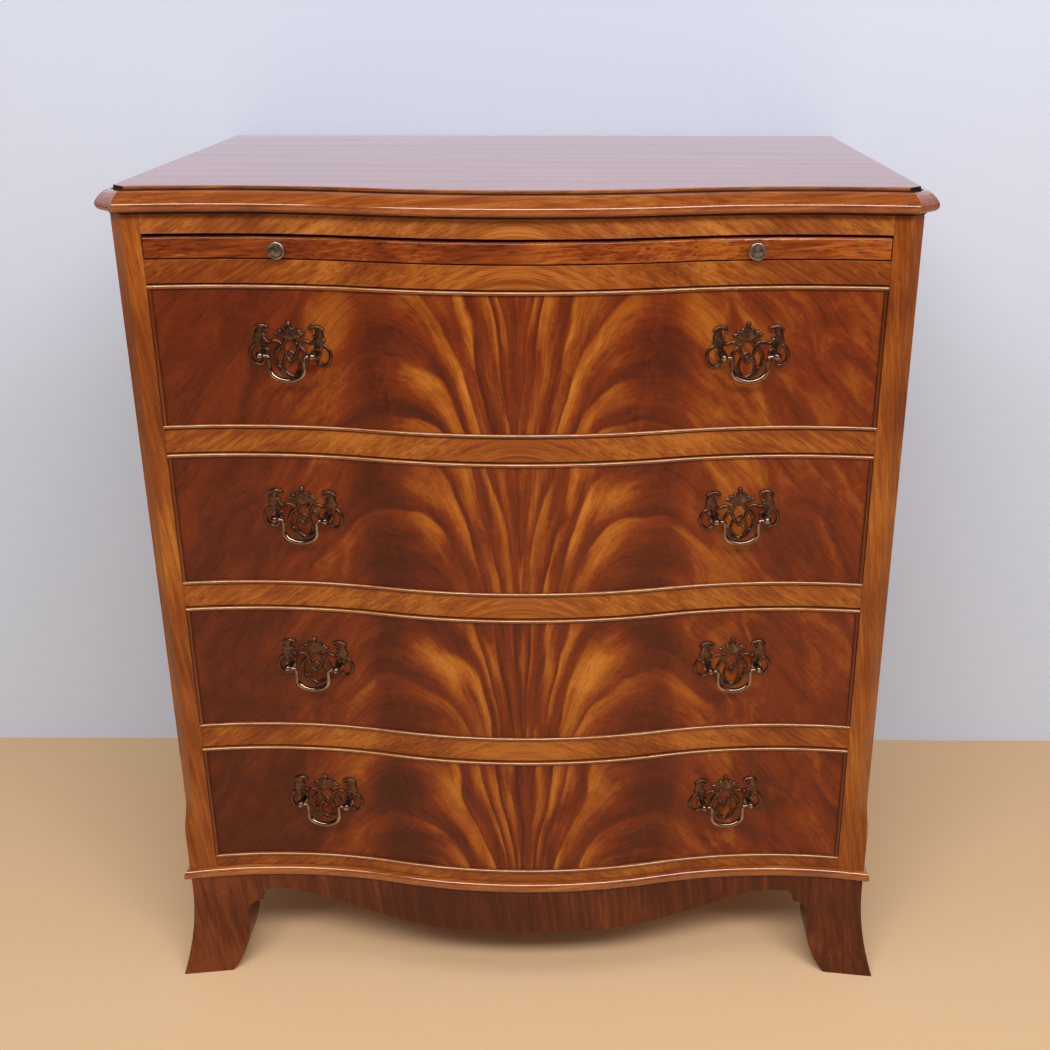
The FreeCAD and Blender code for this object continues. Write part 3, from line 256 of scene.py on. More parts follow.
# Flame mahogany: leaves cut from one crotch and book-matched, so that broad gold feathers fan out from the foot
# of the middle seam and bend over towards two dark spines, and the outer leaves stay darker and quieter. Each
# noise has its repeats across the feathers, per millimetre along them and from leaf to leaf, then its detail
flame = {
    "spineMm": 124, "firstOpeningMm": 135, "pitchMm": 151.5, "middleMm": 64.75, "leafMm": 170, "handShiftMm": 8,
    "warpMm": 26, "warpCellMm": 75, "warpAtSeam": 0.3, "gather": 0.4, "archPower": 3, "riseMm": 520,
    "outerLean": 1.3, "outerStartMm": 30, "offsetMm": 130, "bandsPerRootMm": 0.34, "runLean": 0.7,
    "swayBands": 2.2, "featherEdge": 0.12, "featherFade": 0.22, "patchTones": (0.36, 0.62), "faintest": 0.2,
    "plumeTones": (0.34, 0.68), "featherShare": 0.58, "streakDepth": 0.42,
    "slant": -0.55, "swirlCells": (1 / 30, 1 / 85, 1 / 42), "swirlTones": (0.36, 0.68), "swirlReachMm": 70,
    "swirlShare": 0.72,
    "seamMm": 26, "seamShare": 0.7, "outerFromMm": 110, "outerToMm": 265, "outerShare": 0.38, "outerHand": 0.11,
    "spineEdgesMm": (2, 40), "spineHush": -0.5, "eddyCells": (1 / 20, 1 / 34, 1 / 60), "eddyDepth": -0.22,
    "curlWanderMm": 60, "curlMm": (0.5, 7), "curlTones": (0.46, 0.62), "curlDepth": 0.1, "freckleMm": 5,
    "freckleDepth": 0.2, "poreTones": (0.53, 0.7), "poreDepth": 0.4, "poreColour": "#2a0d04",
    "figureDepth": 0.8, "groundTone": 0.217, "storeyPaintedLight": 0.025, "handPaintedLight": 0.03,
    "roughness": 0.36, "specular": 0.3, "coat": 0.12,
    "noises": {"sway": ((0.6, 1 / 150, 1 / 90), 0.6), "patch": ((0.8, 1 / 100, 1 / 70), 2.0),
               "plume": ((1.1, 1 / 110, 1 / 80), 4.0), "streak": ((8.0, 1 / 45, 1 / 60), 3.0),
               "pore": ((30.0, 1 / 16, 1 / 30), 2.0)},
    "colours": [(0.0, "#280b03"), (0.28, "#521b06"), (0.5, "#742c08"), (0.75, "#9c5311"), (1.0, "#ba7428")],
}


def flameMahogany():
    material, tree, shader = newFinish("flame_mahogany_veneer")
    spine, middle = flame["spineMm"], flame["middleMm"]
    objectPlace = addNode(tree, "TexCoord")["Object"]
    place = addNode(tree, "VectorMath", {0: objectPlace, "Scale": 1000.0}, operation="SCALE")[0]
    sideways, _, upward = addNode(tree, "SeparateXYZ", (place,))
    fromCentre = addNode(tree, "Math", (sideways,), operation="ABSOLUTE")[0]
    hand = addNode(tree, "Math", (sideways,), operation="SIGN")[0]
    aboveFirst = addNode(tree, "Math", (upward, flame["firstOpeningMm"]), operation="SUBTRACT")[0]
    storeys = addNode(tree, "Math", (aboveFirst, flame["pitchMm"]), operation="DIVIDE")[0]
    storey = addNode(tree, "Math", (storeys,), operation="FLOOR")[0]
    risen = addNode(tree, "Math", (aboveFirst, flame["pitchMm"]), operation="MODULO")[0]
    height = addNode(tree, "Math", (risen, middle), operation="SUBTRACT")[0]
    # each drawer is the next leaf of the same log, and its two halves are not quite mirror images
    handShift = addNode(tree, "Math", (hand, flame["handShiftMm"]), **product)[0]
    slab = addNode(tree, "Math", (storey, flame["leafMm"], handShift), **productSum)[0]
    sheet = addNode(tree, "CombineXYZ", (fromCentre, height, slab))[0]
    warp = addNode(tree, "TexNoise", {"Vector": sheet, "Scale": 1 / flame["warpCellMm"],
                                      "Detail": 2.5})["Color"]
    centred = addNode(tree, "VectorMath", (warp, (0.5, 0.5, 0.5)), operation="SUBTRACT")[0]
    atSeam = flame["warpAtSeam"] * flame["warpMm"]
    bent = addNode(tree, "MapRange", (fromCentre, 0.0, spine, atSeam, flame["warpMm"]))[0]
    push = addNode(tree, "VectorMath", {0: centred, "Scale": bent}, operation="SCALE")[0]
    moved = addNode(tree, "VectorMath", (sheet, push), operation="ADD")[0]
    out, rise, _ = addNode(tree, "SeparateXYZ", (moved,))
    # the feathers gather towards the foot of the middle seam
    low = addNode(tree, "MapRange", (rise, -middle, middle, flame["gather"], 0.0))[0]
    towardsSpine = addNode(tree, "MapRange", (out, 0.0, spine, 1.0, 0.0))[0]
    between = addNode(tree, "Math", (out, towardsSpine), **product)[0]
    fanned = addNode(tree, "Math", (between, low, out), **productSum)[0]
    # inside the spines they arch, steep at the seam and level at the spine; outside they lean back
    inside = addNode(tree, "MapRange", (fanned, 0.0, spine, 1.0, 0.0))[0]
    cubed = addNode(tree, "Math", (inside, flame["archPower"]), operation="POWER")[0]
    arched = addNode(tree, "Math", (cubed, flame["riseMm"], rise), **productSum)[0]
    beyond = addNode(tree, "Math", (fanned, spine), operation="SUBTRACT")[0]
    outside = addNode(tree, "Math", (beyond, 0.0), operation="MAXIMUM")[0]
    squared = addNode(tree, "Math", (outside, outside, flame["outerStartMm"] ** 2), **productSum)[0]
    eased = addNode(tree, "Math", (squared,), operation="SQRT")[0]
    leant = addNode(tree, "Math", (eased, flame["outerLean"], arched), **productSum)[0]
    lifted = addNode(tree, "Math", (leant, flame["offsetMm"] - flame["outerLean"] * flame["outerStartMm"]),
                     operation="ADD")[0]
    positive = addNode(tree, "Math", (lifted, 1.0), operation="MAXIMUM")[0]
    root = addNode(tree, "Math", (positive,), operation="SQRT")[0]
    band = addNode(tree, "Math", (root, flame["bandsPerRootMm"]), **product)[0]
    run = addNode(tree, "Math", (out, flame["runLean"], rise), **productSum)[0]
    feather = addNode(tree, "CombineXYZ", (band, run, slab))[0]
    noise = {}
    for name, (cells, detail) in flame["noises"].items():
        cellPlace = addNode(tree, "VectorMath", (feather, cells), **product)[0]
        noise[name] = addNode(tree, "TexNoise", {"Vector": cellPlace, "Scale": 1.0, "Detail": detail})["Fac"]
    # gold feathers, crisp on the side of the seam and fading towards the spine, of uneven width and strength
    backward = addNode(tree, "Math", (band, -1.0), **product)[0]
    phase = addNode(tree, "Math", (noise["sway"], flame["swayBands"], backward), **productSum)[0]
    saw = addNode(tree, "Math", (phase,), operation="FRACT")[0]
    fade = addNode(tree, "MapRange", (saw, flame["featherFade"], 1.0, 1.0, 0.0), **softStep)[0]
    edge = addNode(tree, "MapRange", (saw, 0.0, flame["featherEdge"]), **softStep)[0]
    crisp = addNode(tree, "Math", (fade, edge), **product)[0]
    strength = addNode(tree, "MapRange", (noise["patch"], *flame["patchTones"], flame["faintest"], 1.0),
                       **softStep)[0]
    lit = addNode(tree, "Math", (crisp, strength), **product)[0]
    plume = addNode(tree, "MapRange", (noise["plume"], *flame["plumeTones"]))[0]
    gold = addNode(tree, "Mix", {0: flame["featherShare"], 2: plume, 3: lit})[0]
    streak = addNode(tree, "Math", (noise["streak"], 0.5), operation="SUBTRACT")[0]
    brushed = addNode(tree, "Math", (streak, flame["streakDepth"], gold), **productSum)[0]
    # past the spines the feathers break up into leaning streaks and swirls
    slanted = addNode(tree, "VectorRotate", {"Vector": moved, "Angle": flame["slant"]},
                      rotation_type="Z_AXIS")[0]
    blotchPlace = addNode(tree, "VectorMath", (slanted, flame["swirlCells"]), **product)[0]
    blotch = addNode(tree, "TexNoise", {"Vector": blotchPlace, "Scale": 1.0, "Detail": 4.0,
                                        "Distortion": 1.2})["Fac"]
    swirl = addNode(tree, "MapRange", (blotch, *flame["swirlTones"]))[0]
    reach = spine + flame["swirlReachMm"]
    past = addNode(tree, "MapRange", (fromCentre, spine, reach, 0.0, flame["swirlShare"]), **softStep)[0]
    figured = addNode(tree, "Mix", {0: past, 2: brushed, 3: swirl})[0]
    # quieter along the seam, at the spines and over the outer leaves
    seam = addNode(tree, "MapRange", (fromCentre, 0.0, flame["seamMm"], flame["seamShare"], 1.0),
                   **softStep)[0]
    share = addNode(tree, "Math", (hand, flame["outerHand"], flame["outerShare"]), **productSum)[0]
    outer = addNode(tree, "MapRange", (fromCentre, flame["outerFromMm"], flame["outerToMm"], 1.0, share),
                    **softStep)[0]
    leaf = addNode(tree, "Math", (beyond,), operation="ABSOLUTE")[0]
    nearSpine = addNode(tree, "MapRange", (leaf, *flame["spineEdgesMm"], 1.0, 0.0), **softStep)[0]
    hushed = addNode(tree, "Math", (nearSpine, flame["spineHush"], outer), **productSum)[0]
    quiet = addNode(tree, "Math", (seam, hushed), **product)[0]
    shown = addNode(tree, "Math", (figured, quiet), **product)[0]
    # dark eddies and a thin pale curl down each spine
    eddyPlace = addNode(tree, "VectorMath", (sheet, flame["eddyCells"]), **product)[0]
    eddied = addNode(tree, "TexNoise", {"Vector": eddyPlace, "Scale": 1.0, "Detail": 2.0,
                                        "Distortion": 1.0})["Fac"]
    eddy = addNode(tree, "Math", (eddied, nearSpine), **product)[0]
    wander = addNode(tree, "Math", (eddied, 0.5), operation="SUBTRACT")[0]
    astray = addNode(tree, "Math", (wander, flame["curlWanderMm"], beyond), **productSum)[0]
    aside = addNode(tree, "Math", (astray,), operation="ABSOLUTE")[0]
    curlWidth = addNode(tree, "MapRange", (aside, *flame["curlMm"], 1.0, 0.0))[0]
    curlRun = addNode(tree, "MapRange", (eddied, *flame["curlTones"]), **softStep)[0]
    curl = addNode(tree, "Math", (curlWidth, curlRun), **product)[0]
    ground = addNode(tree, "Math", (shown, flame["figureDepth"], flame["groundTone"]), **productSum)[0]
    # painted light: the upper drawers and the right half are painted a little lighter, as the light falls
    # brighter there
    tiered = addNode(tree, "Math", (storey, flame["storeyPaintedLight"], ground), **productSum)[0]
    handed = addNode(tree, "Math", (hand, flame["handPaintedLight"], tiered), **productSum)[0]
    sunk = addNode(tree, "Math", (eddy, flame["eddyDepth"], handed), **productSum)[0]
    freckle = addNode(tree, "TexNoise", {"Vector": moved, "Scale": 1 / flame["freckleMm"], "Detail": 3.0,
                                         "Distortion": 0.6})["Fac"]
    evened = addNode(tree, "Math", (freckle, 0.5), operation="SUBTRACT")[0]
    freckled = addNode(tree, "Math", (evened, flame["freckleDepth"], sunk), **productSum)[0]
    level = addNode(tree, "Math", (curl, flame["curlDepth"], freckled), **productSum)[0]
    colour = addNode(tree, "ValToRGB", (level,), flame["colours"])["Color"]
    fleck = addNode(tree, "MapRange", (noise["pore"], *flame["poreTones"], 0.0, flame["poreDepth"]))[0]
    inked = addNode(tree, "Mix", {0: fleck, 6: colour, 7: linear(flame["poreColour"])}, data_type="RGBA")[2]
    tree.links.new(inked, shader.inputs["Base Color"])
    shader.inputs["Roughness"].default_value = flame["roughness"]
    shader.inputs["Specular IOR Level"].default_value = flame["specular"]
    shader.inputs["Coat Weight"].default_value = flame["coat"]
    shader.inputs["Coat Roughness"].default_value = everyWood["coatRoughness"]
    return material


flameFinish = flameMahogany()
print("flame veneer mixed")


# Cast brass, chemically browned and lacquered: dull brown in the hollows, rubbed pinkish where fingers reach
everyBrass = {"worn": (0.48, 0.6, 0.0, 0.55), "tones": (0.25, 0.75, 0.0, 0.6), "sheenTones": (0.3, 0.7),
              "stops": (0.0, 0.5, 1.0), "duller": 0.06, "glossier": 0.04}


def brownedBrass(finish):
    material, tree, shader = newFinish(finish["name"])
    objectPlace = addNode(tree, "TexCoord")["Object"]
    mottle = addNode(tree, "TexNoise", {"Vector": objectPlace, "Scale": 1000 / finish["mottleMm"],
                                        "Detail": 3.0})["Fac"]
    pointed = addNode(tree, "NewGeometry")["Pointiness"]
    worn = addNode(tree, "MapRange", (pointed, *everyBrass["worn"]))[0]
    tone = addNode(tree, "MapRange", (mottle, *everyBrass["tones"]))[0]
    rubbed = addNode(tree, "Math", (tone, worn), operation="ADD")[0]
    colour = addNode(tree, "ValToRGB", (rubbed,), zip(everyBrass["stops"], finish["colours"]))["Color"]
    tree.links.new(colour, shader.inputs["Base Color"])
    smoothest = finish["roughness"] - everyBrass["glossier"]
    roughest = finish["roughness"] + everyBrass["duller"]
    sheen = addNode(tree, "MapRange", (mottle, *everyBrass["sheenTones"], smoothest, roughest))[0]
    tree.links.new(sheen, shader.inputs["Roughness"])
    shader.inputs["Metallic"].default_value = 1.0
    return material


plateFinish = brownedBrass({"name": "browned_cast_brass", "mottleMm": 4, "roughness": 0.32,
                            "colours": ("#3c2b25", "#6a5044", "#ae968a")})
bailFinish = brownedBrass({"name": "rubbed_browned_brass", "mottleMm": 9, "roughness": 0.2,
                           "colours": ("#5a4842", "#8c786e", "#d0beb4")})
# the posts are duller than the bails, which hands keep bright, and the knobs have worn to a pale grey
stemFinish = brownedBrass({"name": "browned_brass_post", "mottleMm": 5, "roughness": 0.28,
                           "colours": ("#3c2e2a", "#6c5850", "#bca89c")})
knobFinish = brownedBrass({"name": "worn_grey_brass", "mottleMm": 3, "roughness": 0.32,
                           "colours": ("#524846", "#978a84", "#d4c9c3")})

wearers = [
    (topFinish, "top_board", "slide_board"), (sideFinish, "left_side_panel", "right_side_panel"),
    (postFinish, "left_corner_post", "right_corner_post"), (topRailFinish, "top_rail"),
    (railFinish, "slide_rail", "drawer_rails", "bottom_rail"), (slideFinish, "slide_front_edge"),
    (apronFinish, "front_apron", "front_feet", "rear_feet", "side_aprons"),
    (softwoodFinish, "back_panel", "base_board", "drawer_runners", "slide_bearers", "drawer_stops",
     "glue_blocks"),
]
for drawer in range(1, 5):
    own = f"drawer_{drawer}_"
    wearers += [(flameFinish, own + "front"), (liningFinish, own + "sides", own + "back", own + "bottom"),
                (stemFinish, own + "handle_posts")]
for finish, *names in wearers:
    for name in names:
        nodes[name].data.materials.clear()
        nodes[name].data.materials.append(finish)

# the edges of the top take the moulding's colour, its canted corners are painted dark as painted shade, and the
# backs of the drawer fronts stay plain
cornerLean, frontLean = 0.5, 0.3
for face in nodes["top_board"].data.polygons:
    onCorner = abs(face.normal.x) > cornerLean and face.normal.y < -cornerLean
    face.material_index = 0 if face.normal.z > cornerLean else 2 if onCorner else 1
nodes["top_board"].data.materials.append(mouldingFinish)
nodes["top_board"].data.materials.append(paintedShadeFinish)
for drawer in range(1, 5):
    front = nodes[f"drawer_{drawer}_front"].data
    front.materials.append(sideFinish)
    for face in front.polygons:
        face.material_index = 0 if face.normal.y < -frontLean else 1
print("finishes laid on", sum(len(names) for _, *names in wearers), "pieces")

# Rubbed edges: the sharp edges of the joinery are broken a little, so that they catch the light
softened = {"top_board": 0.8, "top_rail": 0.6, "slide_rail": 0.6, "drawer_rails": 0.6, "bottom_rail": 0.6,
            "slide_front_edge": 0.8, "left_corner_post": 0.8, "right_corner_post": 0.8, "front_apron": 0.8,
            "front_feet": 1.0, "rear_feet": 1.0, "side_aprons": 0.8, "left_side_panel": 0.6,
            "right_side_panel": 0.6, "slide_board": 0.5}
edges = {"joinMm": 0.01, "segments": 2, "fromAngle": math.radians(30), "evenness": 60}
for name, width in softened.items():
    weld = nodes[name].modifiers.new("joined_faces", "WELD")
    weld.merge_threshold = edges["joinMm"] * mm
    bevel = nodes[name].modifiers.new("rubbed_edges", "BEVEL")
    bevel.width, bevel.segments = width * mm, edges["segments"]
    bevel.limit_method, bevel.angle_limit = "ANGLE", edges["fromAngle"]
    even = nodes[name].modifiers.new("even_shading", "WEIGHTED_NORMAL")
    even.weight = edges["evenness"]


# points along the round bend from start through middle to end, each with its direction away from the centre
def arcThrough(start, middle, end, count):
    a, b, c = complex(*start), complex(*middle), complex(*end)
    ratio = (c - a) / (b - a)
    centre = a + (b - a) * (ratio - abs(ratio) ** 2) / (2j * ratio.imag)
    swept = cmath.phase((b - centre) / (a - centre)) + cmath.phase((c - centre) / (b - centre))
    spokes = [(a - centre) * cmath.exp(1j * swept * i / count) for i in range(count + 1)]
    return [(centre + spoke, spoke / abs(spoke)) for spoke in spokes]


# points evenly round a circle of radius one
def circle(count):
    turns = [2 * math.pi * i / count for i in range(count)]
    return [(math.cos(a), math.sin(a)) for a in turns]


# a closed skin over a row of rings of points
def addSkin(points, faces, rings):
    first, count = len(points), len(rings[0])
    for ring in rings:
        points.extend(ring)
    for row in range(first, first + count * (len(rings) - 1), count):
        for i in range(count):
            j = (i + 1) % count
            faces.append((row + i, row + j, row + count + j, row + count + i))
    faces.append(tuple(range(first + count - 1, first - 1, -1)))
    faces.append(tuple(range(len(points) - count, len(points))))


def newMesh(name, points, faces):
    mesh = bpy.data.meshes.new(name)
    mesh.from_pydata(points, [], faces)
    tidy = bmesh.new()
    tidy.from_mesh(mesh)
    bmesh.ops.recalc_face_normals(tidy, faces=tidy.faces)
    tidy.to_mesh(mesh)
    tidy.free()
    mesh.polygons.foreach_set("use_smooth", [True] * len(mesh.polygons))
    return mesh


# a piece of the scene in its place, riding on its body instead of the CAD node
def fitPiece(name, mesh, finish, place, node, body):
    if not mesh.materials:
        mesh.materials.append(finish)
    piece = bpy.data.objects.new(name, mesh)
    bpy.context.scene.collection.objects.link(piece)
    piece.matrix_world = place
    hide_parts(node)
    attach(piece, body)


# The serpentine plan in millimetres, a bowed centre between two hollows, and the corners of the carcase
plan = {"bowMm": 552, "bowHalfMm": 131, "hollowMm": 492, "faceMm": -236, "backMm": 247.5, "halfMm": 344,
        "cantMm": 14, "steps": 40, "roundSteps": 8, "sharpAngle": math.radians(25)}


# points along the front from left to right, so far ahead of its face and out to so far from the middle
def frontRun(ahead, reach):
    turn = math.asin(plan["bowHalfMm"] / plan["bowMm"])
    bow, hollow = plan["bowMm"] + ahead, plan["hollowMm"] - ahead
    bowY = plan["faceMm"] + plan["bowMm"]
    hollowX = (plan["bowMm"] + plan["hollowMm"]) * math.sin(turn)
    hollowY = bowY - (plan["bowMm"] + plan["hollowMm"]) * math.cos(turn)
    end = math.asin((hollowX - reach) / hollow)
    right = []
    for i in range(plan["steps"] + 1):
        a = turn * i / plan["steps"]
        right.append((bow * math.sin(a), bowY - bow * math.cos(a)))
    for i in range(1, plan["steps"] + 1):
        a = turn + (end - turn) * i / plan["steps"]
        right.append((hollowX - hollow * math.sin(a), hollowY + hollow * math.cos(a)))
    return [(-x, y) for x, y in reversed(right[1:])] + right


# the same run returned along both sides, round canted or square corners
def returnedRun(ahead, cant):
    side = plan["halfMm"] + ahead
    if not cant:
        run = frontRun(ahead, side)
    else:
        shift = ahead * (math.sqrt(2) - 1)
        run = frontRun(ahead, plan["halfMm"] - cant + shift)
        cantY = frontRun(0, plan["halfMm"] - cant)[-1][1] + cant - shift
        run = [(-side, cantY)] + run + [(side, cantY)]
    return [(-side, plan["backMm"])] + run + [(side, plan["backMm"])]


# a moulding's section: a flat bar whose upper and lower front edges are rounded, as pairs of depth and height
def roundedBar(inner, outer, low, high, lowRound, highRound):
    quarter = [math.pi / 2 * i / plan["roundSteps"] for i in range(plan["roundSteps"] + 1)]
    section = [(inner, low)]
    for a in quarter:
        section.append((outer - lowRound * (1 - math.sin(a)), low + lowRound * (1 - math.cos(a))))
    for a in quarter:
        section.append((outer - highRound * (1 - math.cos(a)), high - highRound * (1 - math.sin(a))))
    return section + [(inner, high)]


# the section drawn along its runs, one ring of points at each step
def sweep(points, faces, section, runFor):
    runs = [(runFor(ahead), height) for ahead, height in section]
    addSkin(points, faces, [[(run[i][0] * mm, run[i][1] * mm, height * mm) for run, height in runs]
                            for i in range(len(runs[0][0]))])


# Mouldings and beads, run in lengths that bend with the front, so that a line of light flows along them.
# Sections are pairs of depth and height, and the painted shadows are dark strips painted as shade and shadow in
# the corners under and behind the moulding, with a little old wax and dust
bends = [((6.5, 780), (10.04, 781.46), (11.5, 785)), ((11.5, 785.4), (11.36, 786.44), (10.96, 787.4)),
         ((10.96, 787.4), (6.88, 792.62), (1.5, 796.5))]
thumbnail = [(-4, 780)]
for bend in bends:
    thumbnail += [(at.real, at.imag) for at, _ in arcThrough(*bend, plan["roundSteps"] + 1)]
thumbnail += [(-1.4, 796.5), (-4, 796.5)]
mouldings = {
    "top_edge_moulding": {"section": thumbnail, "cantMm": plan["cantMm"],
                          "paintedShadows": [[(-0.5, 777.2), (1.8, 777.6), (2.4, 780.2), (-0.5, 780.2)],
                                    [(-4.3, 796.3), (-3.6, 796.3), (-3.8, 797.6), (-4.3, 797.6)]]},
    "base_moulding": {"section": roundedBar(-17, 5, 112.5, 124, 4.5, 6), "cantMm": 0, "paintedShadows": []},
}
for node, moulding in mouldings.items():
    points, faces, counts = [], [], []
    for section in [moulding["section"]] + moulding["paintedShadows"]:
        sweep(points, faces, section, lambda ahead: returnedRun(ahead, moulding["cantMm"]))
        counts.append(len(faces))
    mesh = newMesh(node, points, faces)
    mesh.set_sharp_from_angle(angle=plan["sharpAngle"])
    mesh.materials.append(mouldingFinish)
    mesh.materials.append(paintedShadeFinish)
    # the flat of the quirk behind the nose is painted dark as shade too
    strips = len(moulding["section"])
    for face in mesh.polygons:
        face.material_index = 1 if face.index % strips == strips - 2 or face.index >= counts[0] else 0
    fitPiece(f"swept_{node}", mesh, mouldingFinish, Matrix.Identity(4), node, "carcase")

bead = {"halfMm": 316.6, "thickMm": 3.2, "proudMm": 3, "seatMm": -9, "roundMm": 1.5, "highMm": 127.7,
        "noseSteps": 12, "sharpAngle": math.radians(32), "highlightLean": (0.35, 0.95)}
points, faces = [], []
for low in (0, bead["highMm"] - bead["thickMm"]):
    high, edge = low + bead["thickMm"], bead["roundMm"]
    section = roundedBar(bead["seatMm"], bead["proudMm"], low, high, edge, edge)
    sweep(points, faces, section, lambda ahead: frontRun(ahead, bead["halfMm"]))
runFaces = len(faces)
noseRadius = bead["thickMm"] / 2
noseX = bead["halfMm"] - noseRadius
noseY = frontRun(bead["proudMm"], noseX)[-1][1] + noseRadius
for side in (-1, 1):
    nose = [math.pi * i / bead["noseSteps"] for i in range(bead["noseSteps"] + 1)]
    strip = [(noseX + noseRadius * math.cos(a), noseY - noseRadius * math.sin(a)) for a in nose]
    strip = [(bead["halfMm"], noseY + bead["proudMm"] - bead["seatMm"] - noseRadius)] + strip
    strip.append((noseX - noseRadius, strip[0][1]))
    addSkin(points, faces, [[(side * x * mm, y * mm, height * mm) for x, y in strip]
                            for height in (bead["thickMm"], bead["highMm"] - bead["thickMm"])])
beadMesh = newMesh("cock_beads", points, faces)
beadMesh.set_sharp_from_angle(angle=bead["sharpAngle"])
for finish in (beadFinish, highlightBeadFinish, shadedEndBeadFinish):
    beadMesh.materials.append(finish)
leastLean, mostLean = bead["highlightLean"]
# painted highlight on the upward faces of the bead runs, painted shade on the rest and on the upright ends
for face in beadMesh.polygons:
    onRun = 1 if leastLean < face.normal.z < mostLean else 0
    face.material_index = onRun if face.index < runFaces else 2
for drawer in range(1, 5):
    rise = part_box(f"drawer_{drawer}_cock_bead")[0].z
    fitPiece(f"swept_beads_{drawer}", beadMesh, beadFinish, Matrix.Translation((0, 0, rise)),
             f"drawer_{drawer}_cock_bead", f"drawer_{drawer}")
print("mouldings and beads run")


# Swan-neck plates, pierced and cast in low relief. The right half is drawn in millimetres from the middle of
# the plate, level with the posts: start, middle and end of each strap, its widths there and its height
plate = {
    "straps": [
        ((7.3, 6.1), (13.9, -4.5), (10.5, -14.3), (3.4, 3.6, 3.6), 1.9),    # outer frame of the basket
        ((10.5, -14.3), (6.4, -19.6), (0, -22.1), (3.6, 3.6, 4.0), 1.9),
        ((7.3, 6.1), (4.9, -1.4), (0, -8.3), (3.2, 3.0, 3.0), 2.1),         # crossing inner bands
        ((0, 1.0), (4.6, -3.2), (7.1, -9.6), (2.8, 2.8, 3.0), 1.6),
        ((7.1, -9.6), (6.2, -16.4), (0, -20.9), (3.0, 3.0, 3.2), 1.6),
        ((3.2, 14.0), (4.7, 9.2), (7.3, 6.1), (3.6, 3.2, 3.4), 1.9),        # neck up to the crown
        ((7.3, 6.1), (11.8, 10.2), (17.6, 9.0), (3.2, 3.0, 3.0), 1.9),      # arm out to the leaf
        ((17.6, 9.0), (20.2, 9.4), (23.0, 11.6), (2.6, 3.2, 4.4), 2.0),
        ((26.2, 21.4), (26.8, 11.0), (23.6, 1.0), (5.6, 9.0, 5.8), 2.5),    # leaf, its cap, hook and barbs
        ((31.2, 20.8), (26.2, 23.6), (21.2, 23.4), (1.6, 3.2, 2.8), 2.4),
        ((21.2, 23.4), (18.9, 21.2), (20.8, 19.2), (2.8, 2.6, 1.8), 2.2),
        ((28.4, 13.4), (30.2, 12.6), (31.8, 11.6), (3.4, 2.6, 1.4), 2.0),
        ((23.4, 15.6), (22.0, 15.0), (20.6, 15.4), (3.0, 2.4, 1.4), 2.0),
        ((29.0, 8.0), (36.0, -0.9), (32.4, -9.6), (2.8, 3.2, 3.0), 1.9),    # ring round the post
        ((32.4, -9.6), (27.2, -10.6), (23.8, -4.2), (3.0, 3.2, 3.6), 1.9),
        ((0, 13.0), (0.02, 18.0), (0, 23.2), (5.4, 9.0, 4.0), 2.5),         # five lobes of the crown
        ((1.2, 13.4), (3.8, 17.8), (5.0, 21.4), (4.6, 6.6, 3.0), 2.2),
        ((2.0, 13.8), (6.2, 16.6), (9.2, 19.0), (4.6, 6.4, 3.2), 2.1),
        ((2.8, 14.0), (7.8, 15.6), (12.4, 16.6), (3.8, 5.2, 2.6), 1.9),
        ((0, 22.6), (0.02, 23.8), (0, 25.2), (2.6, 2.2, 2.2), 2.0),         # neck of the finial
    ],
    "buds": [((0, 26.0), 2.3, 2.7), ((0, -21.6), 2.2, 2.1), ((10.6, -13.4), 1.8, 2.0), ((23.25, 0), 5.0, 2.2)],
    "stepsPerStrap": 14, "stepsPerDome": 8, "budSides": 20, "wallShare": 0.35, "fuseMm": 0.3, "settling": 0.5,
    "settlings": 3, "keptShare": 0.3, "liftMm": 0.05,
}


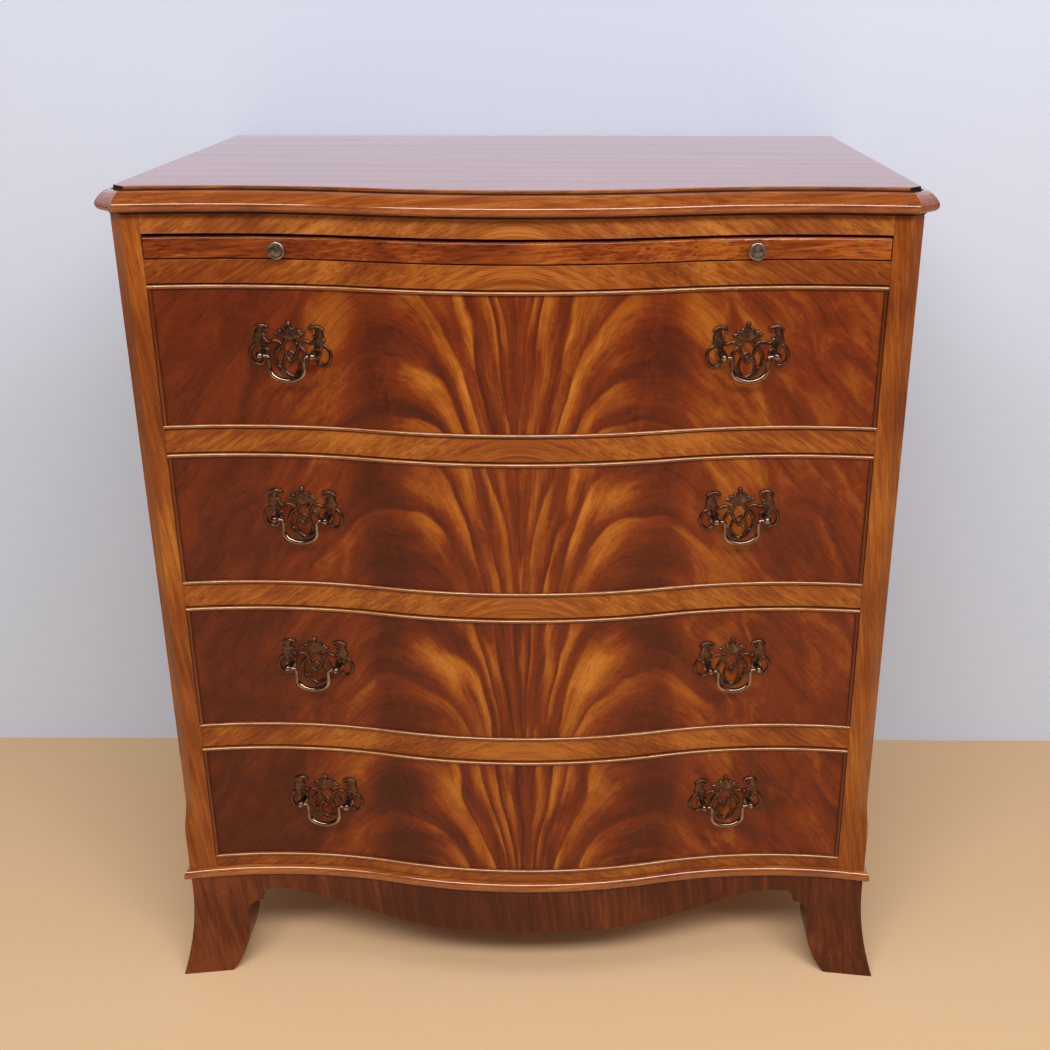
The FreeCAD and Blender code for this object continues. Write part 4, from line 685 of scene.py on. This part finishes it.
def castPlate():
    points, faces = [], []
    arch = [math.pi * i / plate["stepsPerDome"] for i in range(plate["stepsPerDome"] + 1)]
    wall = plate["wallShare"]
    dome = [(-1, 0)] + [(-math.cos(turn), wall + (1 - wall) * math.sin(turn)) for turn in arch] + [(1, 0)]
    buds = list(plate["buds"])
    for start, middle, end, (w0, w1, w2), relief in plate["straps"]:
        rings = []
        bend = arcThrough(start, middle, end, plate["stepsPerStrap"])
        for i, (at, away) in enumerate(bend):
            t = i / plate["stepsPerStrap"]
            half = (w0 * (1 - t) * (1 - 2 * t) + 4 * w1 * t * (1 - t) + w2 * t * (2 * t - 1)) / 2
            spots = [(at + away * across * half, up * relief) for across, up in dome]
            rings.append([(spot.real, -up, spot.imag) for spot, up in spots])
        addSkin(points, faces, rings)
        buds += [(start, w0 / 2, relief), (end, w2 / 2, relief)]
    for (x, z), radius, relief in buds:
        rings = []
        for across, up in dome[:-len(dome) // 2]:
            reach = radius * -across
            rings.append([(x + reach * c, -up * relief, z + reach * s) for c, s in circle(plate["budSides"])])
        addSkin(points, faces, rings)
    half = len(points)
    points += [(-x, y, z) for x, y, z in points]
    faces += [tuple(half + i for i in reversed(face)) for face in faces]
    rough = bpy.data.objects.new("rough_plate", newMesh("rough_plate", points, faces))
    bpy.context.scene.collection.objects.link(rough)
    fuse = rough.modifiers.new("fused", "REMESH")
    fuse.mode, fuse.voxel_size = "VOXEL", plate["fuseMm"]
    settle = rough.modifiers.new("settled", "SMOOTH")
    settle.factor, settle.iterations = plate["settling"], plate["settlings"]
    thin = rough.modifiers.new("thinned", "DECIMATE")
    thin.ratio = plate["keptShare"]
    cast = bpy.data.meshes.new_from_object(rough.evaluated_get(bpy.context.evaluated_depsgraph_get()))
    bpy.data.objects.remove(rough)
    # bent to the hollow of the drawer front
    for vertex in cast.vertices:
        x, y, z = vertex.co
        sag = plan["hollowMm"] - math.sqrt(plan["hollowMm"] ** 2 - x ** 2)
        vertex.co = (x * mm, (y - plate["liftMm"] - sag) * mm, z * mm)
    cast.polygons.foreach_set("use_smooth", [True] * len(cast.polygons))
    return cast


# Where the handles sit, a pair on each drawer
handle = {"outMm": 199.2, "faceMm": -208.577, "turn": math.radians(5.664),
          "risesMm": (659.3, 507.8, 356.3, 204.8)}


# the place of a fitting on one side, turned to face square out of the hollow
def facing(fitting, side, rise):
    at = Matrix.Translation(Vector((side * fitting["outMm"], fitting["faceMm"], rise)) * mm)
    return at @ Matrix.Rotation(side * fitting["turn"], 4, "Z")


onePlate = castPlate()
pair = bmesh.new()
for side in (-1, 1):
    first = len(pair.verts)
    pair.from_mesh(onePlate)
    pair.verts.ensure_lookup_table()
    bmesh.ops.transform(pair, matrix=facing(handle, side, 0), verts=pair.verts[first:])
platePair = bpy.data.meshes.new("plate_pair")
pair.to_mesh(platePair)
pair.free()
print("plates cast:", len(platePair.polygons), "faces a pair")

# Bails: drawn wire, bent under at each end to the posts and thicker where it is gripped
bail = {"pinMm": 24.25, "armMm": 15.4, "elbowMm": 2.8, "shoulderMm": 10.6, "cornerMm": 9.5,
        "cornerTurn": math.radians(60), "standMm": 14.0, "pinRadiusMm": 1.55, "pinEndMm": 1.5,
        "armRadiusMm": 1.8, "thickensMm": 4, "gripMm": 2.5, "gripFromMm": 9, "gripFullMm": 20, "around": 16,
        "elbowSteps": 6, "armSteps": 4, "cornerSteps": 10, "gripSteps": 8}


def bentBail():
    arm, elbow, corner, turn = bail["armMm"], bail["elbowMm"], bail["cornerMm"], bail["cornerTurn"]
    half = [(bail["pinMm"], 0.0), (arm + elbow + bail["pinEndMm"], 0.0)]
    for i in range(bail["elbowSteps"] + 1):
        a = math.pi / 2 * (1 + i / bail["elbowSteps"])
        half.append((arm + elbow + elbow * math.cos(a), -elbow + elbow * math.sin(a)))
    drop = (bail["shoulderMm"] - elbow) / bail["armSteps"]
    half += [(arm, -elbow - drop * i) for i in range(1, bail["armSteps"])]
    for i in range(bail["cornerSteps"] + 1):
        a = -turn * i / bail["cornerSteps"]
        half.append((arm - corner + corner * math.cos(a), -bail["shoulderMm"] + corner * math.sin(a)))
    lowX, lowZ = half[-1]
    gripRadius = lowX / math.cos(turn)
    for i in range(1, bail["gripSteps"] + 1):
        a = -turn - (math.pi / 2 - turn) * i / bail["gripSteps"]
        half.append((gripRadius * math.cos(a), lowZ + gripRadius * (math.sin(turn) + math.sin(a))))
    path = half + [(-x, z) for x, z in reversed(half[:-1])]
    rings = []
    for i, (x, z) in enumerate(path):
        before, after = path[max(i - 1, 0)], path[min(i + 1, len(path) - 1)]
        along = Vector((after[0] - before[0], after[1] - before[1])).normalized()
        elbowShare = min(-z / bail["thickensMm"], 1)
        gripShare = (-z - bail["gripFromMm"]) / (bail["gripFullMm"] - bail["gripFromMm"])
        gripShare = min(max(gripShare, 0), 1)
        radius = bail["pinRadiusMm"] + (bail["armRadiusMm"] - bail["pinRadiusMm"]) * elbowShare
        radius += (bail["gripMm"] - bail["armRadiusMm"]) * gripShare * gripShare * (3 - 2 * gripShare)
        rings.append([((x - along.y * radius * c) * mm, (radius * s - bail["standMm"]) * mm,
                       (z + along.x * radius * c) * mm) for c, s in circle(bail["around"])])
    points, faces = [], []
    addSkin(points, faces, rings)
    return newMesh("bail", points, faces)


bailMesh = bentBail()
for drawer, rise in enumerate(handle["risesMm"], 1):
    fitPiece(f"cast_plates_{drawer}", platePair, plateFinish, Matrix.Translation((0, 0, rise * mm)),
             f"drawer_{drawer}_handle_plates", f"drawer_{drawer}")
    for side, hand in ((-1, "left"), (1, "right")):
        fitPiece(f"bent_bail_{drawer}_{hand}", bailMesh, bailFinish, facing(handle, side, rise),
                 f"drawer_{drawer}_{hand}_bail", f"drawer_{drawer}_{hand}_handle")

# Slide knobs: turned, with a waisted neck and a low domed face inside a rim
knob = {
    "outMm": 201.3, "faceMm": -208.4, "riseMm": 749.15, "turn": math.radians(5.418), "around": 36,
    "profile": [(5.2, 0.3), (5.2, -0.8), (4.5, -1.5), (3.9, -3.4), (3.9, -5.2), (4.6, -7.2), (6.2, -8.6),
                (7.4, -9.4), (7.8, -10.4), (7.8, -11.8), (7.5, -12.7), (6.9, -13.2), (6.3, -13.2), (5.8, -12.9),
                (4.2, -13.3), (2.2, -13.6), (0.3, -13.7)],
}
points, faces = [], []
around = circle(knob["around"])
for side in (-1, 1):
    place = facing(knob, side, knob["riseMm"])
    addSkin(points, faces, [[place @ (Vector((radius * c, out, radius * s)) * mm) for c, s in around]
                            for radius, out in knob["profile"]])
fitPiece("turned_knobs", newMesh("turned_knobs", points, faces), knobFinish, Matrix.Identity(4), "slide_knobs",
         "brushing_slide")
print("handles and knobs fitted")

# Pale floor and soft studio light
stageSet = {"floorHalfM": 4.0, "floorColour": "#eccaa4", "wallColour": "#d6e4ff", "mirrorColour": "#e6e0f0",
            "roomColour": "#40382e", "fillColour": "#fffaf3", "fill": 0.24, "wallAtM": 0.262,
            "floorRoughness": 0.9, "wallRoughness": 0.95, "roomToWall": (0.1, 0.6), "aimM": (0, -0.1, 0.45)}


# a flat sheet of the set in one even colour
def stageSheet(name, corners, colour, roughness):
    mesh = bpy.data.meshes.new(name)
    mesh.from_pydata(corners, [], [(0, 1, 2, 3)])
    sheet = bpy.data.objects.new(name, mesh)
    bpy.context.scene.collection.objects.link(sheet)
    finish, tree, shader = newFinish(f"pale_{name}")
    shader.inputs["Base Color"].default_value = linear(colour)
    shader.inputs["Roughness"].default_value = roughness
    mesh.materials.append(finish)
    return sheet, tree, shader


half, wallAt = stageSet["floorHalfM"], stageSet["wallAtM"]
floorCorners = [(-half, -half, 0), (half, -half, 0), (half, half, 0), (-half, half, 0)]
floor, _, _ = stageSheet("floor", floorCorners, stageSet["floorColour"], stageSet["floorRoughness"])

# the wall that the chest stands against, seen by the camera only and only from the front
wallCorners = [(-half, wallAt, 0), (half, wallAt, 0), (half, wallAt, half), (-half, wallAt, half)]
wall, wallTree, wallShader = stageSheet("wall", wallCorners, stageSet["wallColour"], stageSet["wallRoughness"])
for ray in ("diffuse", "glossy", "transmission", "volume_scatter", "shadow"):
    setattr(wall, f"visible_{ray}", False)
faced = addNode(wallTree, "NewGeometry")["Backfacing"]
clear = addNode(wallTree, "BsdfTransparent")[0]
oneSided = addNode(wallTree, "MixShader", (faced, wallShader.outputs["BSDF"], clear))[0]
wallOut = next(node for node in wallTree.nodes if node.type == "OUTPUT_MATERIAL")
wallTree.links.new(oneSided, wallOut.inputs["Surface"])

# the pale wall shows to the camera and in reflections, the dimmer room in front only in reflections
world = bpy.data.worlds.new("studio")
bpy.context.scene.world = world
world.use_nodes = True
tree = world.node_tree
tree.nodes.clear()
rays = addNode(tree, "LightPath")
heading = addNode(tree, "SeparateXYZ", (addNode(tree, "TexCoord")["Generated"],))["Y"]
behind = addNode(tree, "MapRange", (heading, *stageSet["roomToWall"]), **softStep)[0]
room, mirror = linear(stageSet["roomColour"]), linear(stageSet["mirrorColour"])
around = addNode(tree, "Mix", {0: behind, 6: room, 7: mirror}, data_type="RGBA")[2]
mirrored = addNode(tree, "Math", (rays["Is Glossy Ray"], rays["Is Transmission Ray"]), operation="MAXIMUM")[0]
fill = linear(stageSet["fillColour"])
fillLight = addNode(tree, "Background", {"Color": fill, "Strength": stageSet["fill"]})[0]
mirrorLight = addNode(tree, "Background", {"Color": around, "Strength": 1.0})[0]
wallLight = addNode(tree, "Background", {"Color": linear(stageSet["wallColour"]), "Strength": 1.0})[0]
reflected = addNode(tree, "MixShader", (mirrored, fillLight, mirrorLight))[0]
shown = addNode(tree, "MixShader", (rays["Is Camera Ray"], reflected, wallLight))[0]
addNode(tree, "OutputWorld", {"Surface": shown})

lamps = {
    "window_softbox": {"at": (0.1, -2.0, 2.2), "size": (3.0, 0.5), "watts": 58, "colour": "#fff8ee",
                       "mirrored": True},
    "side_softbox": {"at": (1.5, -1.8, 1.9), "size": (0.7, 0.7), "watts": 5, "colour": "#fff4e6",
                     "mirrored": True},
    "ceiling_softbox": {"at": (0.0, -0.8, 2.8), "size": (2.4, 1.2), "watts": 14, "colour": "#fff8ee",
                        "mirrored": False},
}
aim = Vector(stageSet["aimM"])
for name, lamp in lamps.items():
    light = bpy.data.lights.new(name, "AREA")
    light.shape = "RECTANGLE"
    light.size, light.size_y = lamp["size"]
    light.energy, light.color = lamp["watts"], linear(lamp["colour"])[:3]
    stand = bpy.data.objects.new(name, light)
    stand.location = lamp["at"]
    stand.visible_glossy = lamp["mirrored"]
    stand.rotation_mode = "QUATERNION"
    stand.rotation_quaternion = (aim - Vector(lamp["at"])).to_track_quat("-Z", "Y")
    bpy.context.scene.collection.objects.link(stand)

# Camera at the photograph's place
lens = {"at": (0.05567, -1.36711, 0.94474), "pitch": 0.39548, "yaw": 0.00247, "roll": 0.00164,
        "focalPx": 1350.77, "centrePx": (579.03, 562.54), "imagePx": 1050, "sensorMm": 36}
cameraData = bpy.data.cameras.new("camera")
cameraData.sensor_width = lens["sensorMm"]
cameraData.lens = lens["focalPx"] * lens["sensorMm"] / lens["imagePx"]
cameraData.shift_x = (lens["imagePx"] / 2 - lens["centrePx"][0]) / lens["imagePx"]
cameraData.shift_y = (lens["centrePx"][1] - lens["imagePx"] / 2) / lens["imagePx"]
camera = bpy.data.objects.new("camera", cameraData)
turn = (Matrix.Rotation(lens["yaw"], 4, "Z") @ Matrix.Rotation(math.pi / 2 - lens["pitch"], 4, "X")
        @ Matrix.Rotation(lens["roll"], 4, "Z"))
camera.matrix_world = Matrix.Translation(lens["at"]) @ turn
bpy.context.scene.collection.objects.link(camera)
bpy.context.scene.camera = camera
bpy.context.scene.view_settings.view_transform = "Standard"
print("stage set")
